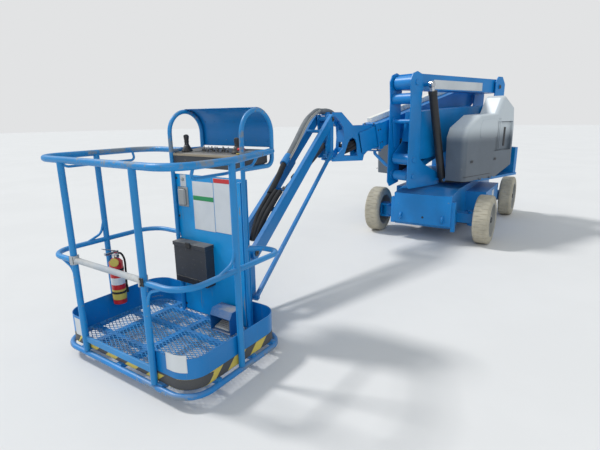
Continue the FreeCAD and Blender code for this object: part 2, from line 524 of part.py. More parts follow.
def build_arms():
    arm_x = "mid_pivot_x"
    base_x, base_z = "base_pivot_x", "base_pivot_z"
    outer = [(base_x + " - 50", base_z + " - 40"), (base_x + " - 50", base_z + " + 40"),
             (base_x + " - 20", base_z + " + 62"), (base_x + " + 70", "lower_arm_top_rear"),
             ("mid_pivot_x - 160", "lower_arm_top_front"), ("mid_pivot_x - 110", "lower_pivot_z + 190"),
             ("mid_pivot_x + 50", "lower_pivot_z + 42"), ("mid_pivot_x + 50", "lower_pivot_z - 36"),
             ("mid_pivot_x - 40", "lower_pivot_z - 50"), ("mid_pivot_x - 150", "lower_pivot_z - 4"),
             ("mid_pivot_x - 300", "lower_pivot_z - 4"), ("mid_pivot_x - 650", "lower_pivot_z + 55"),
             (base_x + " + 290", "base_pivot_z - 108")]
    arm = profile("lower_arm_outside", outer, "2 * arm_half_width", y="riser_y")
    inner = [(base_x + " - 60", base_z + " - 60"), (base_x + " - 60", base_z + " + 46"),
             (base_x + " + 70", "lower_arm_top_rear - arm_plate"),
             ("mid_pivot_x - 168", "lower_arm_top_front - arm_plate"), ("mid_pivot_x - 118", "lower_pivot_z + 200"),
             ("mid_pivot_x + 60", "lower_pivot_z + 60"), ("mid_pivot_x + 60", "lower_pivot_z - 70"),
             ("mid_pivot_x - 300", "lower_pivot_z - 70"), ("mid_pivot_x - 650", "lower_pivot_z - 10"),
             (base_x + " + 290", "base_pivot_z - 200")]
    hollow = profile("lower_arm_inside", inner, "2 * (arm_half_width - arm_plate)", y="riser_y")
    tubes = [arm_tube("lower_arm_front_tube", "50", "mid_pivot_x", "lower_pivot_z", "arm_half_width"),
             arm_tube("lower_arm_rear_tube", "44", base_x, base_z, "arm_half_width")]
    holes = [arm_hole("lower_arm_front_hole", "mid_pivot_x", "lower_pivot_z", "riser_y", "arm_half_width"),
             arm_hole("lower_arm_rear_hole", base_x, base_z, "riser_y", "arm_half_width")]
    shell = cut("lower_arm_shell", arm, [hollow])
    node("lower_arm", cut("lower_arm_shape", fuse("lower_arm_solid", [shell] + tubes), holes), TURNTABLE)

    low, high = ("mid_pivot_x", "lower_pivot_z - link_drop"), (base_x, "base_pivot_z - link_drop")
    beam = profile("lower_link_beam", [
        (high[0], high[1] + " - link_depth / 2"), (high[0], high[1] + " + link_depth / 2"),
        (low[0], low[1] + " + link_depth / 2"), (low[0], low[1] + " - link_depth / 2")], "link_width", y="riser_y")
    inside = "arm_half_width - arm_plate - link_side_gap"
    ends = [arm_tube("lower_link_front_tube", "46", low[0], low[1], inside),
            arm_tube("lower_link_rear_tube", "46", high[0], high[1], inside)]
    holes = [arm_hole("lower_link_front_hole", low[0], low[1], "riser_y", inside),
             arm_hole("lower_link_rear_hole", high[0], high[1], "riser_y", inside)]
    node("lower_link", cut("lower_link_shape", fuse("lower_link_solid", [beam] + ends), holes), TURNTABLE)

    def mid_plate(side, sign):
        tail = [("mid_pivot_x - 110", "lower_pivot_z + 10"), ("mid_pivot_x - 200", "lower_pivot_z - 60"),
                ("cyl_foot_x - 40", "cyl_foot_z + 60"), ("cyl_foot_x - 50", "cyl_foot_z - 30"),
                ("cyl_foot_x", "mid_bottom")] if sign == "" else [("mid_pivot_x - 100", "mid_bottom + 40")]
        points = [("mid_pivot_x + 60", "mid_bottom"), ("mid_pivot_x + 100", "mid_bottom + 60"),
                  ("mid_pivot_x + 92", "top_pivot_z - 200"), ("mid_pivot_x + 110", "top_pivot_z + 20"),
                  ("mid_pivot_x + 75", "top_pivot_z + 90"), ("mid_pivot_x", "top_pivot_z + 115"),
                  ("mid_pivot_x - 75", "top_pivot_z + 90"), ("mid_pivot_x - 110", "top_pivot_z + 20"),
                  ("mid_pivot_x - 92", "top_pivot_z - 200")]
        return profile("mid_plate_" + side, points + tail, "riser_plate", y="riser_y + " + sign + "riser_plate_y")

    reach = "riser_plate_y + riser_plate / 2 + 10"
    pins = [pivot_pin("mid_pin_" + level, "mid_pivot_x", z, "riser_y", reach)
            for level, z in (("top", "top_pivot_z"), ("low", "lower_pivot_z"), ("foot", "lower_pivot_z - link_drop"))]
    bars = [rod("mid_bar_" + level, radius, "2 * riser_plate_y", ("mid_pivot_x + 20", "riser_y", z))
            for level, z, radius in (("high", "top_pivot_z - 170", "tube_diameter / 2"),
                                     ("middle", "lower_pivot_z + 430", "24"))]
    foot_pin = rod("mid_cylinder_pin", "cyl_pin_radius", "cyl_y + 40 - riser_y - riser_plate_y",
                   ("cyl_foot_x", "(cyl_y + 40 + riser_y + riser_plate_y) / 2", "cyl_foot_z"))
    extras = []
    for side, sign in (("left", ""), ("right", "-")):
        y = "riser_y + " + sign + "lever_y"
        extras.append(rod("lever_ring_" + side, "lever_ring", "lever_plate", ("mid_pivot_x + 20", y, "lower_pivot_z + 430")))
        extras.append(profile("lever_plate_" + side, [
            ("mid_pivot_x - 20", "lower_pivot_z + 430"), ("mid_pivot_x + 60", "lower_pivot_z + 430"),
            ("mid_pivot_x + 20", "lower_pivot_z + 130"), ("mid_pivot_x - 10", "lower_pivot_z + 130")], "lever_plate", y=y))
        extras.append(rod("foot_flange_" + side, "58", "12", (
            "mid_pivot_x", "riser_y + " + sign + "(riser_plate_y - riser_plate / 2 - 6)", "lower_pivot_z - link_drop")))
    rest_y = D.riser_y - D.riser_plate_y
    strut = [Vector(D.mid_pivot_x + 60, rest_y, D.lower_pivot_z - 95),
             Vector(D.mid_pivot_x + 85, rest_y - 45, D.lower_pivot_z - 70),
             Vector(D.boom_rest_x, D.boom_y, D.boom_rest_z - 40), Vector(D.boom_rest_x, D.boom_y, D.boom_rest_z - 8)]
    pad = Part.makeBox(90, 120, 12, Vector(D.boom_rest_x - 45, D.boom_y - 60, D.boom_rest_z - 12))
    extras.append(code_shape("boom_rest", bent_tube(strut, 18, 30).fuse(pad)))
    node("mid_pivot", fuse("mid_pivot_pieces", both_sides(mid_plate) + pins + bars + extras + [foot_pin]), TURNTABLE)

    half = "upper_arm_depth / 2"
    middle = "top_pivot_z + 10"
    beam = box("upper_beam_outside", ("mid_pivot_x - rear_pivot_x", "2 * arm_half_width", "upper_arm_depth"),
               ("rear_pivot_x", "riser_y - arm_half_width", middle + " - " + half))
    inner = box("upper_beam_inside", ("mid_pivot_x - rear_pivot_x - 200", "2 * (arm_half_width - arm_plate)",
                                      "upper_arm_depth - 2 * arm_plate"),
                ("rear_pivot_x + 100", "riser_y - arm_half_width + arm_plate", middle + " - " + half + " + arm_plate"))
    tubes = [arm_tube("upper_arm_front_tube", "boss_diameter / 2", "mid_pivot_x", "top_pivot_z", "arm_half_width"),
             arm_tube("upper_arm_rear_tube", "upper_arm_depth / 2 - 5", "rear_pivot_x", "top_pivot_z", "arm_half_width")]
    holes = [arm_hole("upper_arm_front_hole", "mid_pivot_x", "top_pivot_z", "riser_y", "arm_half_width"),
             arm_hole("upper_arm_rear_hole", "rear_pivot_x", "top_pivot_z", "riser_y", "arm_half_width")]
    front_cut = box("upper_beam_front_cut", ("400", "2 * arm_half_width + 10", "upper_arm_depth + 20"),
                    ("mid_pivot_x", "riser_y - arm_half_width - 5", middle + " - " + half + " - 10"))
    stub_end = "cyl_y - cyl_eye_width / 2 - running_gap"
    stub_start = "riser_y + arm_half_width"
    lug = rod("upper_cylinder_pin", "cyl_pin_radius", stub_end + " - (" + stub_start + ")",
              ("cyl_pin_x", "(" + stub_end + " + " + stub_start + ") / 2", "cyl_pin_z"))
    shell = cut("upper_arm_shell", beam, [inner, front_cut])
    node("upper_arm", cut("upper_arm_shape", fuse("upper_arm_solid", [shell] + tubes + [lug]), holes), TURNTABLE)


def cylinder_pair(name, foot, eye, y, barrel_radius, rod_radius, gland_gap, retract, extend, pin_radius,
                  frame):
    """A lift cylinder from its foot pin to its rod's eye, as a barrel and a rod; x and z of both pins are given.

    The rod's eye is closed: its pin is made as stubs on the piece that carries it, one at each side. The bore
    leaves room for the rod to come in by retract and keeps hold of it when it goes out by extend.
    """
    run = Vector(eye[0] - foot[0], 0, eye[1] - foot[1])
    length = run.Length
    way = run.normalize()
    start, end = Vector(foot[0], y, foot[1]), Vector(eye[0], y, eye[1])
    side = Vector(0, 1, 0)
    eye_radius, wide = barrel_radius * 0.82, D.cyl_eye_width
    hole = pin_radius + D.running_gap

    def eye_ring(centre):
        return Part.makeCylinder(eye_radius, wide, centre - side * (wide / 2), side)

    def eye_hole(centre):
        return Part.makeCylinder(hole, wide + 4, centre - side * (wide / 2 + 2), side)

    barrel_end = length - gland_gap
    first = eye_radius * 0.7
    barrel = Part.makeCylinder(barrel_radius, barrel_end - first, start + way * first, way)
    rod_start = barrel_end - extend - 50
    bore_start = rod_start - retract - 8
    bore = Part.makeCylinder(rod_radius + D.running_gap, barrel_end - bore_start + 2, start + way * bore_start, way)
    gland = Part.makeCylinder(barrel_radius + 4, 40, start + way * (barrel_end - 40), way)
    barrel = barrel.fuse([gland, eye_ring(start)]).cut([bore, eye_hole(start)])
    stem = Part.makeCylinder(rod_radius, length - eye_radius * 0.7 - rod_start, start + way * rod_start, way)
    stem = stem.fuse(eye_ring(end))
    node(name + "_barrel", code_shape(name + "_barrel_turned", barrel.removeSplitter()), frame)
    node(name + "_rod", code_shape(name + "_rod_turned", stem.removeSplitter()), frame)


def build_head():
    def plate(name, y, eye):
        lug = [("eye_x + 40", "head_bottom"), ("eye_x + 45", "eye_z + 20"), ("eye_x", "eye_z + 60")] if eye else [
            ("eye_x - 20", "head_bottom + 10"), ("eye_x - 10", "eye_z + 60")]
        return profile(name, [("head_tube_x - 50", "head_bottom")] + lug + [
            ("rear_pivot_x + 90", "top_pivot_z - 60"), ("rear_pivot_x + 90", "top_pivot_z + 60"),
            ("rear_pivot_x + 30", "head_top"), ("rear_pivot_x - 70", "head_top"),
            ("head_tube_x - 50", "top_pivot_z + 40")], "head_plate", y=y)

    plates = [plate("head_plate_left", "riser_y + riser_plate_y", False),
              plate("head_plate_middle", "riser_y - riser_plate_y", True),
              plate("head_plate_right", "boom_y - boom_width / 2 - slide_gap - head_plate", True)]
    right_end = "boom_y - boom_width / 2 - slide_gap - 1.5 * head_plate"
    mid_end = "riser_y - riser_plate_y - head_plate / 2"
    left_end = "riser_y + riser_plate_y + head_plate / 2"

    def across(name, radius, x, z, y_from, y_to):
        return rod(name, radius, y_to + " - (" + y_from + ")", (x, "(" + y_to + " + " + y_from + ") / 2", z))

    pieces = [across("head_arm_pin", "pivot_diameter / 2", "rear_pivot_x", "top_pivot_z", mid_end, left_end + " + 10"),
              across("head_boom_pin", "pivot_diameter / 2", "boom_pivot_x", "boom_pivot_z", right_end + " - 10", mid_end),
              across("head_cross_tube", "30", "head_tube_x", "head_bottom + 50", right_end, left_end),
              across("head_eye_stub_right", "cyl_pin_radius", "eye_x", "eye_z", right_end + " - 8",
                     "boom_y - cyl_eye_width / 2 - running_gap"),
              across("head_eye_stub_left", "cyl_pin_radius", "eye_x", "eye_z",
                     "boom_y + cyl_eye_width / 2 + running_gap", mid_end)]
    node("riser_head", fuse("riser_head_pieces", plates + pieces), TURNTABLE)


def build_boom():
    top = "boom_height / 2 - boom_drop"
    foot = "-boom_height / 2 - boom_drop"
    outside = profile("boom_outside", [
        ("-75", "-70"), ("-75", "30"), ("-35", top), ("boom_front", top), ("boom_front", foot), ("170", foot),
        ("-40", "-110")], "boom_width")
    inside = box("boom_inside", ("boom_front - 140", "boom_width - 2 * boom_wall", "boom_height - 2 * boom_wall"),
                 ("150", "-boom_width / 2 + boom_wall", foot + " + boom_wall"))
    collar = cut("boom_collar", box("boom_collar_outside", ("60", "boom_width + 24", "boom_height + 24"),
                                    ("boom_front - 60", "-boom_width / 2 - 12", foot + " - 12")),
                 [box("boom_collar_inside", ("80", "boom_width - 2 * boom_wall", "boom_height - 2 * boom_wall"),
                      ("boom_front - 70", "-boom_width / 2 + boom_wall", foot + " + boom_wall"))])
    lugs = [profile("boom_lug_" + side, [
        ("boom_cyl_x - 70", foot), ("boom_cyl_x - 35", "-boom_cyl_drop - 35"), ("boom_cyl_x + 35", "-boom_cyl_drop - 35"),
        ("boom_cyl_x + 110", foot)], "14", y=sign + "(boom_cyl_radius + 12)")
            for side, sign in (("left", ""), ("right", "-"))]
    pin = rod("boom_lug_pin", "cyl_pin_radius", "2 * (boom_cyl_radius + 21)", ("boom_cyl_x", "0", "-boom_cyl_drop"))
    pivot = rod("boom_pivot_hole", "pivot_diameter / 2 + running_gap", "boom_width + 10", ("0", "0", "0"))
    solid = fuse("boom_outer_solid", [cut("boom_tube", outside, [inside, pivot]), collar] + lugs + [pin])
    node("boom_outer", solid, BOOM)

    inner = box("inner_outside", ("inner_front - inner_rear", "inner_width", "inner_height"),
                ("inner_rear", "-inner_width / 2", "-boom_drop - inner_height / 2"))
    hollow = box("inner_inside", ("inner_front - inner_rear + 20", "inner_width - 2 * inner_wall",
                                  "inner_height - 2 * inner_wall"),
                 ("inner_rear - 10", "-inner_width / 2 + inner_wall", "-boom_drop - inner_height / 2 + inner_wall"))
    pads = [box("slide_pad_" + level, ("120", "100", "boom_height / 2 - boom_wall - inner_height / 2 - running_gap"),
                ("inner_rear", "-50", z)) for level, z in (
        ("top", "-boom_drop + inner_height / 2"),
        ("foot", "-boom_drop - boom_height / 2 + boom_wall + running_gap"))]
    node("boom_inner", fuse("boom_inner_solid", [cut("inner_tube", inner, [hollow])] + pads), BOOM)


def build_nose():
    deep = "rotator_x - nose_reach"
    points = [("1440", "1095"), ("1440", "1345"), ("1743", "1345"), ("rotator_x - 150", "rotator_high + 40"),
              ("rotator_x - 20", "rotator_high + 40"), ("rotator_x - 20", "rotator_high + 4"),
              ("rotator_x - 50", "rotator_high + 4"), ("rotator_x - 110", "rotator_high - 40"),
              (deep + " + 10", "1330"), (deep, "1220"), (deep + " + 10", "1110"),
              ("rotator_x - 110", "rotator_low + 40"), ("rotator_x - 50", "rotator_low - 4"),
              ("rotator_x - 20", "rotator_low - 4"), ("rotator_x - 20", "rotator_low - 40"),
              ("1577", "rotator_low - 61"), ("1560", "rotator_low")]
    window = [("1878", "1022"), ("1815", "1164"), ("1790", "1198"), ("1745", "1216"), ("1700", "1190"),
              ("1681", "1145"), ("1664", "1008")]

    def side_plate(side, sign):
        return profile("nose_plate_" + side, points, "nose_plate", y="boom_y + " + sign + "nose_half_width")

    ears = []
    for level, z in (("high", "rotator_high + 4 + rotator_ear / 2"), ("low", "rotator_low - 4 - rotator_ear / 2")):
        ears.append(rod("nose_ear_" + level, "rotator_diameter / 2 + 3", "rotator_ear", ("rotator_x", "boom_y", z), "Z"))
        ears.append(box("nose_ear_web_" + level, ("110", "2 * nose_half_width", "rotator_ear"),
                        ("rotator_x - 110", "boom_y - nose_half_width", z + " - rotator_ear / 2")))
    pin = rod("nose_pin", "nose_pin_radius", "rotator_high - rotator_low + 80",
              ("rotator_x", "boom_y", "(rotator_high + rotator_low) / 2"), "Z")
    tie = rod("nose_tie", "30", "2 * nose_half_width", ("1700", "boom_y", "1310"))
    tube = fuse("nose_tube_place", [box("nose_tube_block", (
        "400 + running_gap", "inner_width + 2 * running_gap", "inner_height + 2 * running_gap"),
        ("inner_front - 400", "-inner_width / 2 - running_gap", "-boom_drop - inner_height / 2 - running_gap"))])
    tube.Placement = TURNTABLE.inverse().multiply(BOOM)
    web = box("nose_web", ("nose_plate", "2 * nose_half_width", "340"),
              (deep + " - nose_plate", "boom_y - nose_half_width", "1055"))
    slots = [box("nose_slot_" + level, ("nose_plate + 20", "nose_half_width", "60"),
                 (deep + " - nose_plate - 10", "boom_y - nose_half_width / 2", z))
             for level, z in (("high", "1300"), ("low", "1110"))]
    opening = profile("nose_window", window, "2 * nose_half_width + 100", y="boom_y")
    pieces = fuse("boom_nose_pieces", both_sides(side_plate) + ears + [pin, tie, cut("nose_web_slotted", web, slots)])
    node("boom_nose", cut("boom_nose_shape", pieces, [tube, opening]), TURNTABLE)


def jib_point(along, above=0):
    """A place on the jib, from its upper pin along its length, in the jib's upright frame."""
    turn = math.radians(D.jib_slope)
    return (D.jib_pivot_x + along * math.cos(turn) + above * math.sin(turn),
            D.jib_pivot_z - along * math.sin(turn) + above * math.cos(turn))


def flat_bar(points, radius, y, wide):
    """A straight bar with rounded ends between two x, z points."""
    (x1, z1), (x2, z2) = points
    run = Vector(x2 - x1, 0, z2 - z1)
    way = run.normalize() if run.Length else run
    side = Vector(-way.z, 0, way.x)
    a, b = Vector(x1, y - wide / 2, z1), Vector(x2, y - wide / 2, z2)
    corners = [a + side * radius, b + side * radius, b - side * radius, a - side * radius]
    body = Part.Face(Part.makePolygon(corners + corners[:1])).extrude(Vector(0, wide, 0))
    ends = [Part.makeCylinder(radius, wide, centre, Y_AXIS) for centre in (a, b)]
    return body.fuse(ends).removeSplitter()


def cross_bar(point, radius, half, y=0):
    return Part.makeCylinder(radius, 2 * half, Vector(point[0], y - half, point[1]), Y_AXIS)


def cheek_pair(outline):
    """Two plates, one at each side of the jib's middle, of one x, z outline."""
    return [upright_plate(outline, side * D.jib_plate_y, D.jib_plate) for side in (-1, 1)]


def build_rotator():
    gap, pivot_x, pivot_z = D.running_gap, D.jib_pivot_x, D.jib_pivot_z
    turret = [(60, D.rotator_low + 6), (60, D.rotator_high - 6), (100, D.rotator_high + 20), (150, D.rotator_high + 10),
              (pivot_x + 45, pivot_z), (pivot_x + 15, 1260), (pivot_x + 60, 1150), (pivot_x + 50, 1030),
              (pivot_x, D.rotator_low + 6)]
    height = D.rotator_high - D.rotator_low
    housing = Part.makeCylinder(D.rotator_diameter / 2, height, Vector(0, 0, D.rotator_low))
    web = Part.makeBox(30, 2 * D.jib_plate_y, height - 12, Vector(50, -D.jib_plate_y, D.rotator_low + 6))
    pins = [cross_bar((pivot_x, pivot_z), D.jib_pin / 2, jib_pin_half()),
            cross_bar(jib_link_top(), D.link_pin_radius, 52, 56),
            cross_bar(jib_cylinder_foot(), D.jib_eye_pin, D.jib_plate_y)]
    bore = Part.makeCylinder(D.nose_pin_radius + gap, height + 10, Vector(0, 0, D.rotator_low - 5))
    pieces = cheek_pair(turret)
    turret_solid = pieces[0].fuse([pieces[1], housing, web] + pins).cut(bore)
    node("jib_rotator", code_shape("jib_turret", turret_solid), JIB)


def jib_pin_half():
    return D.jib_beam_y + D.jib_beam_width / 2 + 4


def jib_link_top():
    return (D.jib_pivot_x, D.jib_pivot_z - D.jib_link_drop)


def jib_cylinder_foot():
    return (D.jib_pivot_x + D.jib_cyl_foot_x, D.jib_pivot_z - D.jib_cyl_foot_drop)


def build_jib_beams():
    """Two beams, deeper in their lower part, with ties, cylinder lugs and the holes of both end pins."""
    gap, slender, deep = D.running_gap, D.jib_beam_height / 2, D.jib_beam_deep
    step, end_at = D.jib_beam_step, D.jib_length
    pieces = []
    for side in (-1, 1):
        y = side * D.jib_beam_y
        pieces.append(flat_bar((jib_point(0), jib_point(end_at)), slender, y, D.jib_beam_width))
        pieces.append(upright_plate([jib_point(step, 0), jib_point(step + 60, -deep), jib_point(end_at - 130, -deep),
                                     jib_point(end_at - 40, 0)], y, D.jib_beam_width))
        pieces.append(flat_bar((jib_point(D.jib_cyl_reach, -20), jib_cylinder_eye()), 28, y - side * 4, 20))
        stub = D.jib_beam_y - D.cyl_eye_width / 2 - gap
        pieces.append(cross_bar(jib_cylinder_eye(), D.jib_eye_pin, stub / 2, side * (D.jib_beam_y - stub / 2)))
    for along, above, radius in ((300, 40, 16), (1450, 12, 20)):
        pieces.append(cross_bar(jib_point(along, above), radius, D.jib_beam_y))
    holes = [cross_bar(point, D.jib_pin / 2 + gap, 130) for point in (jib_point(0), jib_point(end_at))]
    node("jib_beams", code_shape("jib_beam_pair", pieces[0].fuse(pieces[1:]).cut(holes)), JIB)


def jib_cylinder_eye():
    return jib_point(D.jib_cyl_reach, -50)


def build_jib():
    gap = D.running_gap
    build_rotator()
    build_jib_beams()
    end, link_top = jib_point(D.jib_length), jib_link_top()
    link_end = (end[0], end[1] - D.jib_link_drop)
    link = flat_bar((link_top, link_end), D.jib_link_size / 2, D.jib_beam_y, 26)
    rings = [cross_bar(point, 26, 13, D.jib_beam_y) for point in (link_top, link_end)]
    holes = [cross_bar(point, D.link_pin_radius + gap, 40, D.jib_beam_y) for point in (link_top, link_end)]
    node("jib_link", code_shape("jib_link_bar", link.fuse(rings).cut(holes)), JIB)

    cylinder_pair("jib_cylinder", jib_cylinder_foot(), jib_cylinder_eye(), 0, 36, 20, 215, 165, 413, D.jib_eye_pin, JIB)

    pivot_x = end[0] + D.mount_reach
    outline = [(end[0] - 45, link_end[1] - 26), (end[0] - 45, end[1] + 10), (end[0] - 20, end[1] + 45),
               (end[0] + 40, end[1] + 45), (pivot_x - 70, D.mount_high - 10), (pivot_x - 70, D.mount_low + 10),
               (end[0] + 40, link_end[1] - 26)]
    high = D.mount_high - D.mount_low
    tube = Part.makeCylinder(D.mount_tube_radius, high, Vector(pivot_x, 0, D.mount_low))
    web = Part.makeBox(40, 2 * D.jib_plate_y, high - 20, Vector(pivot_x - 80, -D.jib_plate_y, D.mount_low + 10))
    pins = [cross_bar(end, D.jib_pin / 2, jib_pin_half()), cross_bar(link_end, D.link_pin_radius, 52, 56)]
    bore = Part.makeCylinder(D.mount_pin_radius + gap, high + 10, Vector(pivot_x, 0, D.mount_low - 5))
    pieces = cheek_pair(outline)
    mount = pieces[0].fuse([pieces[1], tube, web] + pins).cut(bore)
    node("platform_mount", code_shape("platform_mount_solid", mount), JIB)


def build_rails():
    """The cage of rails with its two hoops, hand rods and braces; x and y are from the cage's middle."""
    front, side = D.platform_depth / 2, D.platform_width / 2
    r, bend, top, mid = D.rail_diameter / 2, D.rail_bend, D.top_rail_height, D.mid_rail_height
    near, far, left, right = D.hoop_near_x, D.hoop_far_x, D.hoop_left_y, D.hoop_right_y
    entry, post_x, floor_z = D.entry_post_y, D.side_post_x, D.floor_height + D.cage_gap
    post_foot = D.bumper_height + D.bumper_radius + D.cage_gap
    pieces = [bent_tube([Vector(far, right, top), Vector(post_x, side, top), Vector(front, side, top),
                         Vector(front, -side, top), Vector(-front, -side, top), Vector(-front, left, top)], r, bend)]
    for x, y in ((front, -entry), (front, entry), (post_x, side), (post_x, -side)):
        pieces.append(Part.makeCylinder(D.post_diameter / 2, top - post_foot, Vector(x, y, post_foot)))
    for y in (left, right):
        low = D.hoop_foot_z
        join = low + D.hoop_foot_bend
        spring = D.hoop_height - (near - far) / 2
        arch = Part.Wire([
            Part.LineSegment(Vector(near, y, floor_z), Vector(near, y, spring)).toShape(),
            Part.Arc(Vector(near, y, spring), Vector((near + far) / 2, y, D.hoop_height),
                     Vector(far, y, spring)).toShape(),
            Part.LineSegment(Vector(far, y, spring), Vector(far, y, join)).toShape()])
        foot = [Vector(far, y, join), Vector(far, y, low), Vector(near, y, low)]
        pieces.append(tube_along(arch, D.hoop_radius))
        pieces.append(bent_tube(foot, D.hoop_radius, D.hoop_foot_bend - 1))
        pieces.append(Part.makeCylinder(D.hoop_radius, near - far, Vector(far, y, top), X_AXIS))
    back = -front + D.mid_rail_inset
    for sign, leg in ((-1, left), (1, right)):
        points = [Vector(front, sign * entry, mid), Vector(front, sign * side, mid), Vector(back, sign * side, mid),
                  Vector(back, leg + sign * 60, mid), Vector(near, leg, mid)]
        pieces.append(bent_tube(points, D.mid_rail_radius, bend))
        slope, over = D.brace_reach, mid + D.brace_reach
        braces = [
            [(post_x + 5, sign * side, over), (post_x + 35, sign * side, mid + 45),
             (post_x + slope, sign * side, mid + 6)],
            [(front, sign * (entry + slope), mid - 6), (front, sign * (entry + 35), mid - 45),
             (front, sign * (entry + 5), mid - slope)]]
        for points in braces:
            pieces.append(bent_tube([Vector(*point) for point in points], D.brace_radius, 60))
    rod_top, rod_low, reach = top - r / 2, top - D.hand_rod_drop, D.hand_rod_inset
    start, slant = D.hand_rod_front, (side - right) / (post_x - far)

    def diagonal(x, inset):
        return side - (post_x - x) * slant - inset

    near_end = far + D.hand_rod_near_gap
    near_rod = [(start, side - r / 2, rod_top), (start - 8, side - reach, rod_low), (post_x, side - reach, rod_low),
                (near_end, diagonal(near_end, reach), rod_low), (near_end - 8, diagonal(near_end, r / 2), rod_top)]
    far_end = back + D.hand_rod_far_gap
    far_rod = [(start, -side + r / 2, rod_top), (start - 8, -side + reach, rod_low),
               (far_end, -side + reach, rod_low), (far_end - 8, -side + r / 2, rod_top)]
    for points in (near_rod, far_rod):
        pieces.append(bent_tube([Vector(*point) for point in points], D.hand_rod_radius, 40))
    pieces.append(Part.makeBox(D.sill_thick, 2 * entry, D.sill_top - D.sill_bottom,
                               Vector(front - D.sill_thick / 2, -entry, D.sill_bottom)))
    rails = pieces[0].fuse(pieces[1:])
    node("platform_rails", code_shape("platform_rail_frame", rails), CAGE)


def build_base():
    """Toe boards, bumper, floor beams and the bracket that the mount's pin goes through."""
    front, side = D.platform_depth / 2, D.platform_width / 2
    r, bend, floor_low = D.rail_diameter / 2, D.rail_bend, D.floor_height - D.floor_plate
    toe_inset = r + D.toe_plate / 2 + D.cage_gap

    def rounded_block(inset, low, high):
        x, y = front - inset, side - inset
        block = Part.makeBox(2 * x, 2 * y, high - low, Vector(-x, -y, low))
        upright = [edge for edge in block.Edges if abs(edge.BoundBox.ZLength - (high - low)) < 0.01]
        return block.makeFillet(bend - inset, upright)

    toe_low = floor_low - D.toe_plate
    toe = rounded_block(toe_inset - D.toe_plate / 2, toe_low, D.toe_top).cut(
        rounded_block(toe_inset + D.toe_plate / 2, toe_low - 1, D.toe_top + 1))
    gate = Part.makeBox(2 * toe_inset, 2 * D.entry_post_y, D.toe_top,
                        Vector(front - 2 * toe_inset, -D.entry_post_y, D.sill_bottom))
    toe = toe.cut(gate)
    bumper = ring_tube(2 * front, 2 * side, D.bumper_height, D.bumper_radius, bend)
    deep = D.floor_beam_depth
    parts = [bumper]
    for along, across in ((-0.36, -0.3), (-0.12, 0), (0.24, 0.3)):
        x, y = along * D.platform_depth - 15, across * D.platform_width - 20
        parts.append(Part.makeBox(2 * front, 40, deep, Vector(-front, y, floor_low - deep)))
        parts.append(Part.makeBox(30, 2 * side, deep, Vector(x, -side, floor_low - deep)))
    pin_x, pin_y = -front - D.platform_back, -D.platform_shift
    low, high, radius = D.mount_low - D.mount_gap, D.mount_high + D.mount_gap, D.mount_tube_radius
    plate, half = D.bracket_plate, D.bracket_width / 2
    for z in (low - D.bracket_ear, high):
        parts.append(Part.makeCylinder(radius, D.bracket_ear, Vector(pin_x, pin_y, z)))
        parts.append(Part.makeBox(-front - pin_x - plate / 2, 2 * radius, D.bracket_ear,
                                  Vector(pin_x, pin_y - radius, z)))
    foot = D.bumper_height
    parts.append(Part.makeBox(plate, 2 * half, high + D.bracket_ear - foot,
                              Vector(-front - plate, pin_y - half, foot)))
    for y in (pin_y - half + plate, pin_y + half - 2 * plate):
        parts.append(Part.makeBox(toe_inset + plate / 2, plate, D.toe_top - foot - 20,
                                  Vector(-front - plate / 2, y, foot)))
    pin = Part.makeCylinder(D.mount_pin_radius, high - low + 2 * D.bracket_ear, Vector(pin_x, pin_y, low - D.bracket_ear))
    node("platform_base", code_shape("platform_base_solid", toe.fuse(parts + [pin])), CAGE)
    inset = toe_inset + D.toe_plate / 2 + D.cage_gap
    floor = rounded_block(inset, floor_low, D.floor_height)
    node("platform_floor", code_shape("platform_floor_sheet", floor), CAGE)


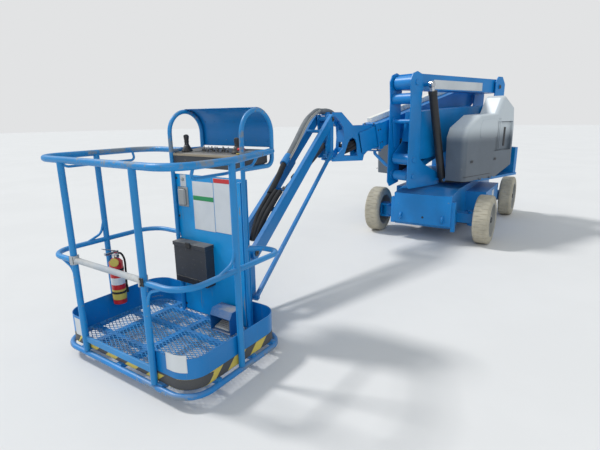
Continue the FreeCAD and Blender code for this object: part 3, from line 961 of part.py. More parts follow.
def build_cage_fittings():
    """What the cage carries: panel, guard, console, manual box, foot switch, extinguisher and entry bar."""
    near, far, left, right = D.hoop_near_x, D.hoop_far_x, D.hoop_left_y, D.hoop_right_y
    tube, gap, sheet = D.hoop_radius, D.cage_gap, D.panel_sheet
    panel_x = near - tube - gap - sheet
    panel = Part.makeBox(sheet, right - left + 2 * tube, D.panel_top - D.panel_bottom,
                         Vector(panel_x, left - tube, D.panel_bottom))
    channel = Part.makeBox(tube, D.channel_width, D.panel_top - D.panel_bottom - 40,
                           Vector(panel_x + sheet / 2, right - 2 * tube - D.channel_width, D.panel_bottom + 20))
    notch, high = tube + 10, 2 * D.mid_rail_radius + 4
    notches = [Part.makeBox(sheet + 2, notch, high, Vector(panel_x - 1, y, D.mid_rail_height - high / 2))
               for y in (left - tube, right + tube - notch)]
    node("console_panel", code_shape("console_panel_plate", panel.cut(notches).fuse(channel)), CAGE)

    middle, arch = (near + far) / 2, (near - far) / 2
    inside, outside = arch + tube + gap, arch + tube + gap + sheet
    spring = D.hoop_height - arch

    def half_disc(radius):
        quarter = Part.makeCylinder(radius, right - left, Vector(middle, left, spring), Y_AXIS)
        corner = Part.makeBox(radius, right - left, radius, Vector(middle - radius, left, spring))
        low = Part.makeBox(radius, right - left, spring - D.guard_low, Vector(middle - radius, left, D.guard_low))
        return quarter.common(corner).fuse(low)

    below = Part.makeBox(inside + 1, right - left + 2, spring - D.guard_low + 2,
                         Vector(middle - inside, left - 1, D.guard_low - 1))
    guard = half_disc(outside).cut(half_disc(inside)).cut(below)
    node("console_guard", code_shape("console_guard_sheet", guard), CAGE)

    face = near - D.console_setback
    desk = upright_plate([
        (face, D.console_low), (face, D.console_edge), (face - 18, D.console_edge + 10), (far + 30, D.console_top),
        (far + 30, D.console_top - 80), (far + 150, D.console_low)],
        (left + right) / 2, right - left - 2 * (tube + gap))
    sticks = []
    for x, y, height in ((face - 70, left + 75, 105), (face - 90, right - 120, 90)):
        foot = Vector(x, y, D.console_edge + 4)
        sticks.append(Part.makeCone(30, 13, 45, foot))
        sticks.append(Part.makeCylinder(13, height - 30, foot + Vector(0, 0, 30)))
        sticks.append(Part.makeSphere(16, foot + Vector(0, 0, height)))
    sticks.append(Part.makeCylinder(20, 26, Vector(face - 60, right - 60, D.console_edge + 4)))
    node("control_console", code_shape("control_console_box", desk.fuse(sticks)), CAGE)

    wall = panel_x + sheet + gap
    manual = Part.makeBox(near + D.manual_reach - wall, D.manual_width, D.manual_high - D.manual_low,
                          Vector(wall, left + tube + 7, D.manual_low))
    lid = Part.makeBox(near + D.manual_reach - wall + 6, D.manual_width + 8, D.manual_lid,
                       Vector(wall, left + tube + 3, D.manual_high - D.manual_lid))
    node("manual_box", code_shape("manual_box_shell", manual.fuse(lid)), CAGE)

    floor_z, high, rear = D.floor_height + gap, D.switch_height, near + 10
    tip, skin = rear + D.switch_length, D.switch_wall
    hood = upright_plate([(rear, floor_z), (tip, floor_z), (tip, floor_z + high * 0.72), (tip - 26, floor_z + high),
                          (rear, floor_z + high)], D.switch_y, D.switch_width)
    inner = upright_plate([(rear + skin, floor_z + skin), (tip + 1, floor_z + skin),
                           (tip + 1, floor_z + high * 0.72 - skin), (tip - 28, floor_z + high - skin),
                           (rear + skin, floor_z + high - skin)],
                          D.switch_y, D.switch_width - 2 * skin)
    pedal = upright_plate([(rear + skin / 2, floor_z + skin / 2), (tip - 22, floor_z + skin / 2),
                           (tip - 22, floor_z + 16), (rear + skin / 2, floor_z + 48)],
                          D.switch_y, D.switch_width - 6 * skin)
    node("foot_switch", code_shape("foot_switch_box", hood.cut(inner).fuse(pedal)), CAGE)

    radius, x = D.bottle_radius, D.side_post_x
    wall_y = -D.platform_width / 2 + D.post_diameter / 2 + gap
    y, low, shoulder = wall_y + radius + 8, D.bottle_low, D.bottle_shoulder
    bottle = [Part.makeCylinder(radius, shoulder - low, Vector(x, y, low)),
              Part.makeCone(radius, 16, 34, Vector(x, y, shoulder)),
              Part.makeCylinder(16, 42, Vector(x, y, shoulder + 26)),
              Part.makeBox(96, 16, 12, Vector(x - 24, y - 8, shoulder + 62)),
              Part.makeBox(34, y - wall_y, 40, Vector(x - 17, wall_y, low + 72)),
              Part.makeBox(34, y - wall_y, 40, Vector(x - 17, wall_y, shoulder - 70))]
    node("extinguisher", code_shape("extinguisher_bottle", bottle[0].fuse(bottle[1:])), CAGE)

    front, entry, r, z = D.platform_depth / 2, D.entry_post_y, D.post_diameter / 2, D.mid_rail_height + 7
    reach = entry - r - gap
    bar = Part.makeCylinder(D.bar_radius, 2 * reach, Vector(front, -reach, z), Y_AXIS)
    clamps = []
    for sign in (-1, 1):
        ring = Part.makeCylinder(r + 9, 50, Vector(front, sign * entry, z - 25))
        ring = ring.cut(Part.makeCylinder(r + gap, 52, Vector(front, sign * entry, z - 26)))
        ring = ring.cut(Part.makeBox(80, 40, 52, Vector(front - 40, sign * entry - 20 + sign * 20, z - 26)))
        clamps.append(ring)
    node("entry_bar", code_shape("entry_bar_tube", bar.fuse(clamps)), CAGE)


def build_boom_cylinder():
    turn = math.radians(D.boom_slope)
    foot = (D.boom_pivot_x + D.boom_cyl_x * math.cos(turn) - D.boom_cyl_drop * math.sin(turn),
            D.boom_pivot_z - D.boom_cyl_x * math.sin(turn) - D.boom_cyl_drop * math.cos(turn))
    cylinder_pair("boom_cylinder", foot, (D.eye_x, D.eye_z), D.boom_y, D.boom_cyl_radius, D.boom_rod_radius, 70, 0, 448,
                  D.cyl_pin_radius, TURNTABLE)


build_chassis()
build_axles()
build_wheels()
build_turntable()
build_hood("left", 1)
build_hood("right", -1)
build_arms()
cylinder_pair("riser_cylinder", (D.cyl_foot_x, D.cyl_foot_z), (D.cyl_pin_x, D.cyl_pin_z), D.cyl_y,
              D.cyl_barrel_radius, D.cyl_rod_radius, 75, 0, 218, D.cyl_pin_radius, TURNTABLE)
build_head()
build_boom()
build_boom_cylinder()
build_nose()
build_jib()
build_rails()
build_base()
build_cage_fittings()


def finish():
    doc.recompute()
    for obj in doc.Objects:
        if "Invalid" in obj.State or "Error" in obj.State:
            raise RuntimeError(obj.Label + " failed: " + str(obj.State))
    os.makedirs("parts", exist_ok=True)
    for name, obj in nodes.items():
        if obj.Shape.isNull() or not obj.Shape.isValid():
            raise RuntimeError(name + " has no valid shape")
        obj.Shape.exportStep(os.path.join("parts", name + ".step"))
        bounds = obj.Shape.BoundBox
        print("%-20s %2d solids %9.1f cm3  X %6.0f %6.0f  Y %6.0f %6.0f  Z %6.0f %6.0f" % (
            name, len(obj.Shape.Solids), obj.Shape.Volume / 1000, bounds.XMin, bounds.XMax, bounds.YMin,
            bounds.YMax, bounds.ZMin, bounds.ZMax))


finish()
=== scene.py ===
# Looks for the articulating boom lift: materials, small fittings, studio and camera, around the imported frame
import json
import math
import random

import bmesh
import bpy
from mathutils import Matrix, Vector


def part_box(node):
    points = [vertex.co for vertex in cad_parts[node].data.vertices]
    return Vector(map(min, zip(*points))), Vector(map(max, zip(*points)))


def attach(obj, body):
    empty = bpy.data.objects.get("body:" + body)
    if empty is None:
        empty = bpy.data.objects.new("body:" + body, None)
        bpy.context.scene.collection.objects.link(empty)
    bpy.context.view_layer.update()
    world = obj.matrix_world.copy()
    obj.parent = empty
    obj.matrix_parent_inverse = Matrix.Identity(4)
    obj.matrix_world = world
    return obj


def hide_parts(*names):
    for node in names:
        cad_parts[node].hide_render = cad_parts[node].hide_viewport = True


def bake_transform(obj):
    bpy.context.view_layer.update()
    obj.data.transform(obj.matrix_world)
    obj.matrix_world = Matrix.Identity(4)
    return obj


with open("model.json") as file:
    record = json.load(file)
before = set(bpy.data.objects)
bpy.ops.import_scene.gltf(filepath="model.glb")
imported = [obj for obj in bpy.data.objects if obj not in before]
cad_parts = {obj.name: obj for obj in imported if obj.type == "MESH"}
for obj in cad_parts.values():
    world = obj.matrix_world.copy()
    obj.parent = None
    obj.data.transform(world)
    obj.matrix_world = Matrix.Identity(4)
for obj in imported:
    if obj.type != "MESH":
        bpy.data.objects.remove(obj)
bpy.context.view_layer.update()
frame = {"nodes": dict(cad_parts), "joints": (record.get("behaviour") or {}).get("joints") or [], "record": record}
JOINTS = {joint["name"]: joint for joint in frame["joints"]}
NODES = frame["nodes"]
scene = bpy.context.scene

# Camera, as the photograph was taken: place in metres, angles in degrees
CAMERA_PLACE = Vector((4.266, 1.682, 1.450))
CAMERA_HEADING = Vector((-0.8406, -0.5417, 0.0))
CAMERA_PITCH = 14.09
CAMERA_ROLL = -0.80
CAMERA_LENS = 25.92
SENSOR_WIDTH = 36.0


def frame_from(origin, x_axis, y_axis):
    """A local frame from its origin and two directions, as a matrix."""
    x_way, y_way = Vector(x_axis).normalized(), Vector(y_axis).normalized()
    z_way = x_way.cross(y_way)
    return Matrix.Translation(origin) @ Matrix((x_way, y_way, z_way)).transposed().to_4x4()


def on_floor(point):
    return Vector((point[0], point[1], 0.0))


LEFT = -Vector(JOINTS["riser_lift"]["axis"])
TURNTABLE = frame_from(on_floor(JOINTS["slew"]["pos_m"]), LEFT.cross(Vector((0, 0, 1))), LEFT)
BOOM = frame_from(Vector(JOINTS["boom_lift"]["pos_m"]), JOINTS["boom_extend"]["axis"], LEFT)
JIB_LEFT = -Vector(JOINTS["jib_lift"]["axis"])
JIB = frame_from(on_floor(JOINTS["jib_rotate"]["pos_m"]), JIB_LEFT.cross(Vector((0, 0, 1))), JIB_LEFT)
PLATFORM_TURN = math.radians(-10.17)
PLATFORM = (Matrix.Translation(on_floor(JOINTS["platform_rotate"]["pos_m"]))
            @ JIB.to_3x3().to_4x4() @ Matrix.Rotation(PLATFORM_TURN, 4, "Z"))
CAGE_MIDDLE = Vector((0.538, -0.027, 0.0))
CAGE = PLATFORM @ Matrix.Translation(CAGE_MIDDLE)
CHASSIS = Matrix.Translation(on_floor(JOINTS["slew"]["pos_m"]))


# Node trees
class Tree:
    """Short ways to add and link the nodes of one material."""

    def __init__(self, name):
        self.material = bpy.data.materials.new(name)
        self.material.use_nodes = True
        self.nodes = self.material.node_tree.nodes
        self.links = self.material.node_tree.links
        self.nodes.clear()
        self.shader = self.add("ShaderNodeBsdfPrincipled")
        out = self.add("ShaderNodeOutputMaterial")
        self.links.new(self.shader.outputs[0], out.inputs[0])
        self.place = self.add("ShaderNodeTexCoord")

    def add(self, kind, **values):
        node = self.nodes.new(kind)
        for key, value in values.items():
            setattr(node, key, value)
        return node

    def put(self, socket, value):
        if hasattr(value, "is_output") or isinstance(value, bpy.types.NodeSocket):
            self.links.new(value, socket)
        else:
            socket.default_value = value

    def math(self, kind, a, b=0.0, clamp=False):
        node = self.add("ShaderNodeMath", operation=kind, use_clamp=clamp)
        self.put(node.inputs[0], a)
        self.put(node.inputs[1], b)
        return node.outputs[0]

    def noise(self, scale, detail=4.0, rough=0.6, stretch=(1, 1, 1), shift=0.0):
        mapping = self.add("ShaderNodeMapping")
        self.links.new(self.place.outputs["Object"], mapping.inputs["Vector"])
        mapping.inputs["Scale"].default_value = stretch
        mapping.inputs["Location"].default_value = (shift, shift * 0.7, shift * 1.3)
        node = self.add("ShaderNodeTexNoise")
        self.links.new(mapping.outputs[0], node.inputs["Vector"])
        node.inputs["Scale"].default_value = scale
        node.inputs["Detail"].default_value = detail
        node.inputs["Roughness"].default_value = rough
        return node.outputs[0]

    def band(self, value, low, high):
        """0 below low, 1 above high, smooth between."""
        node = self.add("ShaderNodeMapRange", interpolation_type="SMOOTHSTEP")
        self.put(node.inputs[0], value)
        node.inputs[1].default_value = low
        node.inputs[2].default_value = high
        return node.outputs[0]

    def mix(self, share, a, b):
        node = self.add("ShaderNodeMix", data_type="RGBA")
        self.put(node.inputs[0], share)
        self.put(node.inputs[6], a)
        self.put(node.inputs[7], b)
        return node.outputs[2]

    def edges(self, radius):
        """How near a point is to a sharp edge, from 0 to 1, and the softened normal there."""
        bevel = self.add("ShaderNodeBevel", samples=4)
        bevel.inputs["Radius"].default_value = radius
        geometry = self.add("ShaderNodeNewGeometry")
        dot = self.add("ShaderNodeVectorMath", operation="DOT_PRODUCT")
        self.links.new(bevel.outputs[0], dot.inputs[0])
        self.links.new(geometry.outputs["Normal"], dot.inputs[1])
        return self.band(self.math("SUBTRACT", 1.0, dot.outputs["Value"]), 0.01, 0.16), bevel.outputs[0]

    def bump(self, height, strength, distance, normal=None):
        node = self.add("ShaderNodeBump")
        node.inputs["Strength"].default_value = strength
        node.inputs["Distance"].default_value = distance
        self.put(node.inputs["Height"], height)
        if normal is not None:
            self.links.new(normal, node.inputs["Normal"])
        self.links.new(node.outputs[0], self.shader.inputs["Normal"])

    def height(self):
        split = self.add("ShaderNodeSeparateXYZ")
        self.links.new(self.place.outputs["Object"], split.inputs[0])
        return split.outputs[2]

    def facing_up(self):
        split = self.add("ShaderNodeSeparateXYZ")
        self.links.new(self.place.outputs["Normal"], split.inputs[0])
        return split.outputs[2]


def rgb(red, green, blue):
    """A colour as seen on screen, 0 to 255, to the linear values of a shader."""
    def linear(value):
        value /= 255
        return value / 12.92 if value <= 0.04045 else ((value + 0.055) / 1.055) ** 2.4
    return linear(red), linear(green), linear(blue), 1.0


DUST = rgb(168, 160, 146)
BARE_STEEL = rgb(150, 152, 152)
PRIMER = rgb(128, 134, 136)


def painted(name, colour, wear=0.5, dust=0.35, roughness=0.36, faded=None, rubbed=None, scratched=0.0):
    """Enamel on steel: faded patches, dust on top, chips, scratches, and patches rubbed to the primer.

    rubbed gives two heights in metres: above the first and below the second the paint is rubbed through."""
    tree = Tree(name)
    edge, soft = tree.edges(0.006)
    cloud = tree.noise(2.2, 5.0)
    grain = tree.noise(38.0, 6.0, 0.7)
    fine = tree.noise(160.0, 3.0, 0.6)
    base = tree.mix(tree.band(cloud, 0.35, 0.7), colour, faded or tuple(c * 1.22 for c in colour[:3]) + (1.0,))
    rub = tree.math("MULTIPLY", edge, tree.band(tree.noise(9.0, 4.0, shift=3.1), 0.52, 0.66))
    chips = tree.band(tree.math("ADD", tree.math("MULTIPLY", grain, 0.65), tree.math("MULTIPLY", cloud, 0.35)),
                      0.66 - 0.06 * wear, 0.68 - 0.06 * wear)
    worn = tree.math("MAXIMUM", tree.math("MULTIPLY", rub, wear), tree.math("MULTIPLY", chips, wear), clamp=True)
    if rubbed:
        height = tree.height()
        reach = tree.math("MAXIMUM", tree.band(height, rubbed[0], rubbed[0] + 0.02),
                          tree.math("SUBTRACT", 1.0, tree.band(height, rubbed[1] - 0.012, rubbed[1] + 0.006)))
        ragged = tree.math("ADD", tree.math("MULTIPLY", tree.noise(3.4, 3.0, shift=7.7), 0.7),
                           tree.math("MULTIPLY", tree.noise(46.0, 5.0, 0.7), 0.3))
        worn = tree.math("MAXIMUM", worn, tree.math("MULTIPLY", tree.math("MULTIPLY", reach, 0.85),
                                                    tree.band(ragged, 0.5, 0.57)), clamp=True)
    if scratched:
        drawn = tree.noise(70.0, 4.0, 0.6, (1, 1, 0.045), 1.7)
        broken = tree.band(tree.noise(6.0, 4.0, shift=5.2), 0.42, 0.6)
        scratches = tree.math("MULTIPLY", tree.band(drawn, 0.63, 0.66), broken)
        worn = tree.math("MAXIMUM", worn, tree.math("MULTIPLY", scratches, scratched), clamp=True)
    base = tree.mix(worn, base, PRIMER)
    lying = tree.math("MULTIPLY", tree.band(tree.facing_up(), 0.2, 0.95), tree.band(tree.noise(5.0, 6.0, 0.7), 0.3, 0.75))
    dusty = tree.math("MULTIPLY", tree.math("ADD", tree.math("MULTIPLY", lying, 0.9),
                                            tree.math("MULTIPLY", tree.band(fine, 0.5, 0.8), 0.15)), dust, clamp=True)
    base = tree.mix(dusty, base, DUST)
    tree.put(tree.shader.inputs["Base Color"], base)
    rough = tree.math("ADD", tree.math("MULTIPLY", tree.math("MAXIMUM", worn, dusty), 0.35),
                      tree.math("ADD", tree.math("MULTIPLY", cloud, 0.12), roughness - 0.06), clamp=True)
    tree.put(tree.shader.inputs["Roughness"], rough)
    height = tree.math("SUBTRACT", tree.math("MULTIPLY", tree.noise(55.0, 2.0), 0.4), tree.math("MULTIPLY", worn, 0.6))
    tree.bump(height, 0.18, 0.002, soft)
    return tree.material


def metal(name, colour, roughness, streak=(1, 1, 30)):
    tree = Tree(name)
    lines = tree.noise(40.0, 3.0, 0.5, streak)
    smear = tree.noise(7.0, 4.0)
    tree.put(tree.shader.inputs["Base Color"], tree.mix(tree.band(smear, 0.4, 0.75), colour,
                                                         tuple(c * 0.72 for c in colour[:3]) + (1.0,)))
    tree.shader.inputs["Metallic"].default_value = 1.0
    tree.put(tree.shader.inputs["Roughness"], tree.math("ADD", tree.math("MULTIPLY", lines, 0.22), roughness - 0.08))
    tree.bump(lines, 0.06, 0.0006)
    return tree.material


def moulded(name, colour, roughness=0.45, dust=0.3, sunlit_top_colour=None):
    """Moulded plastic with a fine grain, scuffs and settled dust; the last colour is a painted highlight, lighter high
    up as if light fell on the top.
    """
    tree = Tree(name)
    edge, soft = tree.edges(0.004)
    cloud = tree.noise(3.0, 5.0)
    scuff = tree.band(tree.noise(24.0, 6.0, 0.75, (1, 1, 2.5)), 0.6, 0.72)
    base = tree.mix(tree.band(cloud, 0.35, 0.7), colour, tuple(c * 1.18 for c in colour[:3]) + (1.0,))
    # painted highlight: the colour turns lighter high up, standing in for light falling on the top of the cover
    if sunlit_top_colour:
        base = tree.mix(tree.band(tree.height(), 1.12, 1.32), base, sunlit_top_colour)
    base = tree.mix(tree.math("MULTIPLY", scuff, 0.35), base, DUST)
    lying = tree.math("MULTIPLY", tree.band(tree.facing_up(), 0.1, 0.9), tree.band(cloud, 0.2, 0.7))
    base = tree.mix(tree.math("MULTIPLY", lying, dust), base, DUST)
    base = tree.mix(tree.math("MULTIPLY", edge, 0.25), base, rgb(186, 188, 188))
    tree.put(tree.shader.inputs["Base Color"], base)
    tree.put(tree.shader.inputs["Roughness"], tree.math("ADD", tree.math("MULTIPLY", scuff, 0.2),
                                                         tree.math("ADD", roughness - 0.05, tree.math("MULTIPLY", cloud, 0.12))))
    tree.bump(tree.noise(420.0, 2.0, 0.5), 0.12, 0.0008, soft)
    return tree.material


def rubber(name, colour, dirty, stain):
    tree = Tree(name)
    cloud = tree.noise(7.0, 6.0, 0.7)
    fine = tree.noise(60.0, 6.0, 0.7)
    base = tree.mix(tree.band(cloud, 0.35, 0.65), colour, dirty)
    base = tree.mix(tree.math("MULTIPLY", tree.band(fine, 0.55, 0.75), 0.5), base, stain)
    tree.put(tree.shader.inputs["Base Color"], base)
    tree.shader.inputs["Roughness"].default_value = 0.86
    tree.bump(tree.math("ADD", tree.math("MULTIPLY", fine, 0.6), tree.noise(240.0, 3.0)), 0.3, 0.0018)
    return tree.material


BLUE = rgb(0, 118, 186)
WORN_BLUE = rgb(14, 124, 186)
MATERIALS = {
    "blue_paint": painted("blue_enamel", BLUE, 0.45, 0.2),
    "red_paint": painted("red_enamel", rgb(196, 32, 34), 0.3, 0.2, 0.3),
    "tyre_rubber": rubber("tan_rubber", rgb(164, 158, 142), rgb(184, 177, 158), rgb(130, 124, 112)),
    "rim_paint": painted("rim_enamel", rgb(132, 134, 132), 0.6, 0.6, 0.5),
    # hood_grey: its last colour is a painted highlight on the upper part of the covers
    "hood_grey": moulded("hood_plastic", rgb(86, 96, 106), 0.38, 0.25, rgb(196, 204, 208)),
    "black_paint": painted("black_enamel", rgb(26, 27, 30), 0.3, 0.35, 0.42, rgb(40, 41, 44)),
    "chrome_rod": metal("hard_chrome", rgb(205, 206, 208), 0.16),
    "battery_case": moulded("battery_plastic", rgb(42, 44, 48)),
    "dark_plastic": moulded("dark_mouldings", rgb(52, 55, 60), 0.5, 0.5),
    "dark_steel": metal("oiled_steel", rgb(96, 97, 99), 0.42),
}
RAIL_PAINT = painted("rail_enamel", WORN_BLUE, 0.9, 0.25, rubbed=(1.222, 0.088))
# painted light: a brighter blue than the rest of the paint, standing in for sunlight on the console panel
SUNLIT_PANEL_PAINT = painted("panel_enamel_sunlit", rgb(0, 142, 206), 0.7, 0.1, scratched=1.0)
CAGE_PAINT = painted("cage_enamel", BLUE, 0.7, 0.25, scratched=0.25, rubbed=(9.0, 0.086))
FLOOR_PAINT = painted("floor_enamel", rgb(20, 134, 198), 0.8, 0.15, 0.55)
BAR_PAINT = painted("bar_primer", rgb(160, 170, 180), 0.9, 0.9, 0.6, rgb(200, 200, 196), scratched=0.5)
YELLOW = painted("stripe_yellow", rgb(204, 184, 84), 0.35, 0.5, 0.5)
STRIPE_BLACK = painted("stripe_black", rgb(70, 71, 72), 0.5, 0.6, 0.6, rgb(90, 90, 88))
LABEL = painted("blank_label", rgb(214, 218, 220), 0.25, 0.3, 0.5, rgb(200, 205, 208))
GREEN_LABEL = painted("green_header", rgb(24, 134, 78), 0.2, 0.2, 0.45)
RED_LABEL = painted("red_header", rgb(198, 44, 46), 0.2, 0.2, 0.45)
CABLE_GREY = rubber("grey_sleeve", rgb(104, 108, 112), rgb(124, 128, 130), rgb(84, 88, 92))
CABLE_BLACK = rubber("black_sleeve", rgb(28, 29, 32), rgb(40, 41, 44), rgb(60, 60, 60))
CREAM = moulded("cream_track", rgb(232, 229, 219), 0.5, 0.1)
PLATE_GREY = moulded("grey_moulding", rgb(150, 153, 152), 0.5, 0.4)
CREAM_DUST = painted("dusty_edge", rgb(150, 138, 118), 0.5, 0.6, 0.7)
SWITCH_PAINT = painted("switch_enamel", rgb(0, 98, 160), 0.9, 1.0, 0.6)
SPECIAL = {"platform_rails": RAIL_PAINT, "platform_base": CAGE_PAINT, "console_panel": SUNLIT_PANEL_PAINT,
           "entry_bar": BAR_PAINT, "foot_switch": SWITCH_PAINT}
for node_name, thing in NODES.items():
    slot = next(s["material_slot"] for s in frame["record"]["subparts"] if s["node"] == node_name)
    thing.data.materials.clear()
    thing.data.materials.append(SPECIAL.get(node_name, MATERIALS[slot]))
    for polygon in thing.data.polygons:
        polygon.use_smooth = True
    thing.data.set_sharp_from_angle(angle=math.radians(32))


# Shapes
MM = 0.001
SHARP = math.radians(32)


class Form:
    """A mesh in the making, in millimetres of one frame."""

    def __init__(self, frame_matrix):
        self.frame = frame_matrix
        self.mesh = bmesh.new()

    def within(self, matrix):
        """The same mesh, drawn in a frame of its own, whose place is in millimetres."""
        other = Form.__new__(Form)
        other.frame = self.frame @ Matrix.Translation(matrix.translation * MM) @ matrix.to_3x3().to_4x4()
        other.mesh = self.mesh
        return other

    def skin(self, rings, closed=False):
        """Join rings of points, each with the same count, and cap both ends."""
        rows = [[self.mesh.verts.new(self.frame @ (Vector(point) * MM)) for point in ring] for ring in rings]
        count = len(rows[0])
        for low, high in list(zip(rows, rows[1:])) + ([(rows[-1], rows[0])] if closed else []):
            for i in range(count):
                j = (i + 1) % count
                self.mesh.faces.new((low[i], low[j], high[j], high[i]))
        if not closed:
            self.mesh.faces.new(rows[0][::-1])
            self.mesh.faces.new(rows[-1])

    def block(self, low, high, edge=2.0):
        """A box with eased edges."""
        (x0, y0, z0), (x1, y1, z1) = low, high
        edge = min(edge, (x1 - x0) * 0.45, (y1 - y0) * 0.45, (z1 - z0) * 0.45)

        def ring(z, inset):
            a, b, c, d = x0 + inset, y0 + inset, x1 - inset, y1 - inset
            e = edge
            return [(a + e, b, z), (c - e, b, z), (c, b + e, z), (c, d - e, z),
                    (c - e, d, z), (a + e, d, z), (a, d - e, z), (a, b + e, z)]
        self.skin([ring(z0, edge * 0.5), ring(z0 + edge * 0.5, 0), ring(z1 - edge * 0.5, 0), ring(z1, edge * 0.5)])

    def turned(self, centre, axis, steps, sides=24):
        """A lathe shape: steps are (radius, distance along the axis)."""
        way = Vector(axis).normalized()
        side = way.orthogonal().normalized()
        other = way.cross(side)
        rings = []
        for radius, along in steps:
            middle = Vector(centre) + way * along
            rings.append([middle + (side * math.cos(2 * math.pi * i / sides)
                                    + other * math.sin(2 * math.pi * i / sides)) * max(radius, 0.4)
                          for i in range(sides)])
        self.skin(rings)

    def bolt(self, centre, axis, size=9.0):
        """A hexagon head on a washer."""
        self.turned(centre, axis, [(size * 1.3, -1), (size * 1.3, 1.8), (size * 1.2, 2.2)], 18)
        self.turned(centre, axis, [(size, 1.5), (size, size * 0.62), (size * 0.86, size * 0.78)], 6)

    def rivet(self, centre, axis, size=5.0):
        self.turned(centre, axis, [(size, -0.5), (size, 0.6), (size * 0.75, size * 0.42), (size * 0.3, size * 0.6)], 12)

    def tube(self, points, radius, sides=12):
        """A bar or wire along a path of points."""
        path = [Vector(point) for point in points]
        rings, side = [], None
        for i, point in enumerate(path):
            way = (path[min(i + 1, len(path) - 1)] - path[max(i - 1, 0)]).normalized()
            side = way.orthogonal().normalized() if side is None else (side - way * side.dot(way)).normalized()
            other = way.cross(side)
            rings.append([point + (side * math.cos(2 * math.pi * k / sides)
                                   + other * math.sin(2 * math.pi * k / sides)) * radius for k in range(sides)])
        self.skin(rings)

    def done(self, name, body, material, slot=None, stands_for=()):
        """Make the object: body is the one that it rides on; anything else, such as what a blend across a joint would
        need, is not used and the piece stays where it is drawn.
        """
        bmesh.ops.recalc_face_normals(self.mesh, faces=self.mesh.faces)
        mesh = bpy.data.meshes.new(name)
        self.mesh.to_mesh(mesh)
        self.mesh.free()
        mesh.materials.append(material)
        for polygon in mesh.polygons:
            polygon.use_smooth = True
        mesh.set_sharp_from_angle(angle=SHARP)
        piece = bpy.data.objects.new(name, mesh)
        scene.collection.objects.link(piece)
        if isinstance(body, str):
            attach(piece, body)
        else:
            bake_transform(piece)
        if stands_for:
            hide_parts(*stands_for)
        return piece


def smooth_path(points, steps=8):
    """Points along a smooth curve through the given ones."""
    path = [Vector(point) for point in points]
    path = [path[0] * 2 - path[1]] + path + [path[-1] * 2 - path[-2]]
    out = []
    for a, b, c, d in zip(path, path[1:], path[2:], path[3:]):
        for i in range(steps):
            t = i / steps
            out.append(0.5 * (2 * b + (c - a) * t + (2 * a - 5 * b + 4 * c - d) * t ** 2
                              + (3 * b - a - 3 * c + d) * t ** 3))
    return out + [path[-2]]


# Platform: outline of the toe boards, in millimetres of the cage
TOE_X, TOE_Y, TOE_BEND = 375.7, 573.7, 130.7


def toe_point(along, z, lift):
    """A point on the toe boards' outer face: along starts at the middle of the entry side, towards the near side."""
    sign = 1 if along >= 0 else -1
    left = abs(along)
    flat, arc, side = TOE_Y - TOE_BEND, TOE_BEND * math.pi / 2, 2 * (TOE_X - TOE_BEND)
    if left <= flat:
        return TOE_X + lift, sign * left, z
    left -= flat
    if left <= arc:
        turn = left / TOE_BEND
        return (TOE_X - TOE_BEND + (TOE_BEND + lift) * math.cos(turn),
                sign * (TOE_Y - TOE_BEND + (TOE_BEND + lift) * math.sin(turn)), z)
    left -= arc
    if left <= side:
        return TOE_X - TOE_BEND - left, sign * (TOE_Y + lift), z
    turn = (left - side) / TOE_BEND
    return (-(TOE_X - TOE_BEND) - (TOE_BEND + lift) * math.sin(turn),
            sign * (TOE_Y - TOE_BEND + (TOE_BEND + lift) * math.cos(turn)), z)


def toe_band(form, start, end, low, high, slant=0.0, lift=0.3):
    """A thin plate bent round the toe boards."""
    count = max(2, int(abs(end - start) / 9))
    rings = []
    for i in range(count + 1):
        foot = start + (end - start) * i / count
        rings.append([toe_point(foot, low, -0.4), toe_point(foot, low, lift),
                      toe_point(foot + slant, high, lift), toe_point(foot + slant, high, -0.4)])
    form.skin(rings)


def build_floor_lattice():
    """Expanded metal: two families of slanted strands inside a flat rim."""
    half_x, half_y, bend = 371.0, 569.0, 126.0
    low, high, strand = 101.9, 104.9, 2.3
    cell_x, cell_y = 25.0, 52.0
    form = Form(CAGE)

    def rim_ring(inset, z):
        ring = []
        radius = bend - inset
        for corner, (sx, sy) in enumerate(((1, 1), (-1, 1), (-1, -1), (1, -1))):
            for i in range(7):
                turn = math.pi / 2 * (corner + i / 6)
                ring.append((sx * (half_x - bend) + radius * math.cos(turn), sy * (half_y - bend) + radius * math.sin(turn), z))
        return ring

    form.skin([rim_ring(0, low), rim_ring(0, high), rim_ring(9, high), rim_ring(9, low)], closed=True)
    # The strands are cut to the rounded rim
    way = Vector((cell_x, cell_y)).normalized()
    reach = half_x + half_y
    for sign in (-1, 1):
        direction = Vector((way.x, sign * way.y))
        normal = Vector((-direction.y, direction.x))
        spacing = cell_x * way.y
        count = int(reach / spacing)
        for k in range(-count, count + 1):
            base = normal * (k * spacing)
            inside = [t for t in range(-900, 901, 6) if in_rounded(base + direction * t, half_x - 5, half_y - 5, bend)]
            if len(inside) < 2:
                continue
            ends = [base + direction * inside[0], base + direction * inside[-1]]
            shift = sign * 0.25
            rings = []
            for end in ends:
                a, b = end - normal * strand, end + normal * strand
                rings.append([(a.x, a.y, low + 0.3), (b.x, b.y, low + 0.3), (b.x, b.y, high - 0.3 + shift),
                              (a.x, a.y, high - 0.3 + shift)])
            form.skin(rings)
    form.done("floor_lattice", "platform", FLOOR_PAINT, "blue_paint", ("platform_floor",))


def in_rounded(point, half_x, half_y, bend):
    dx, dy = abs(point.x) - (half_x - bend), abs(point.y) - (half_y - bend)
    if dx <= 0 or dy <= 0:
        return dx <= bend and dy <= bend
    return math.hypot(dx, dy) <= bend


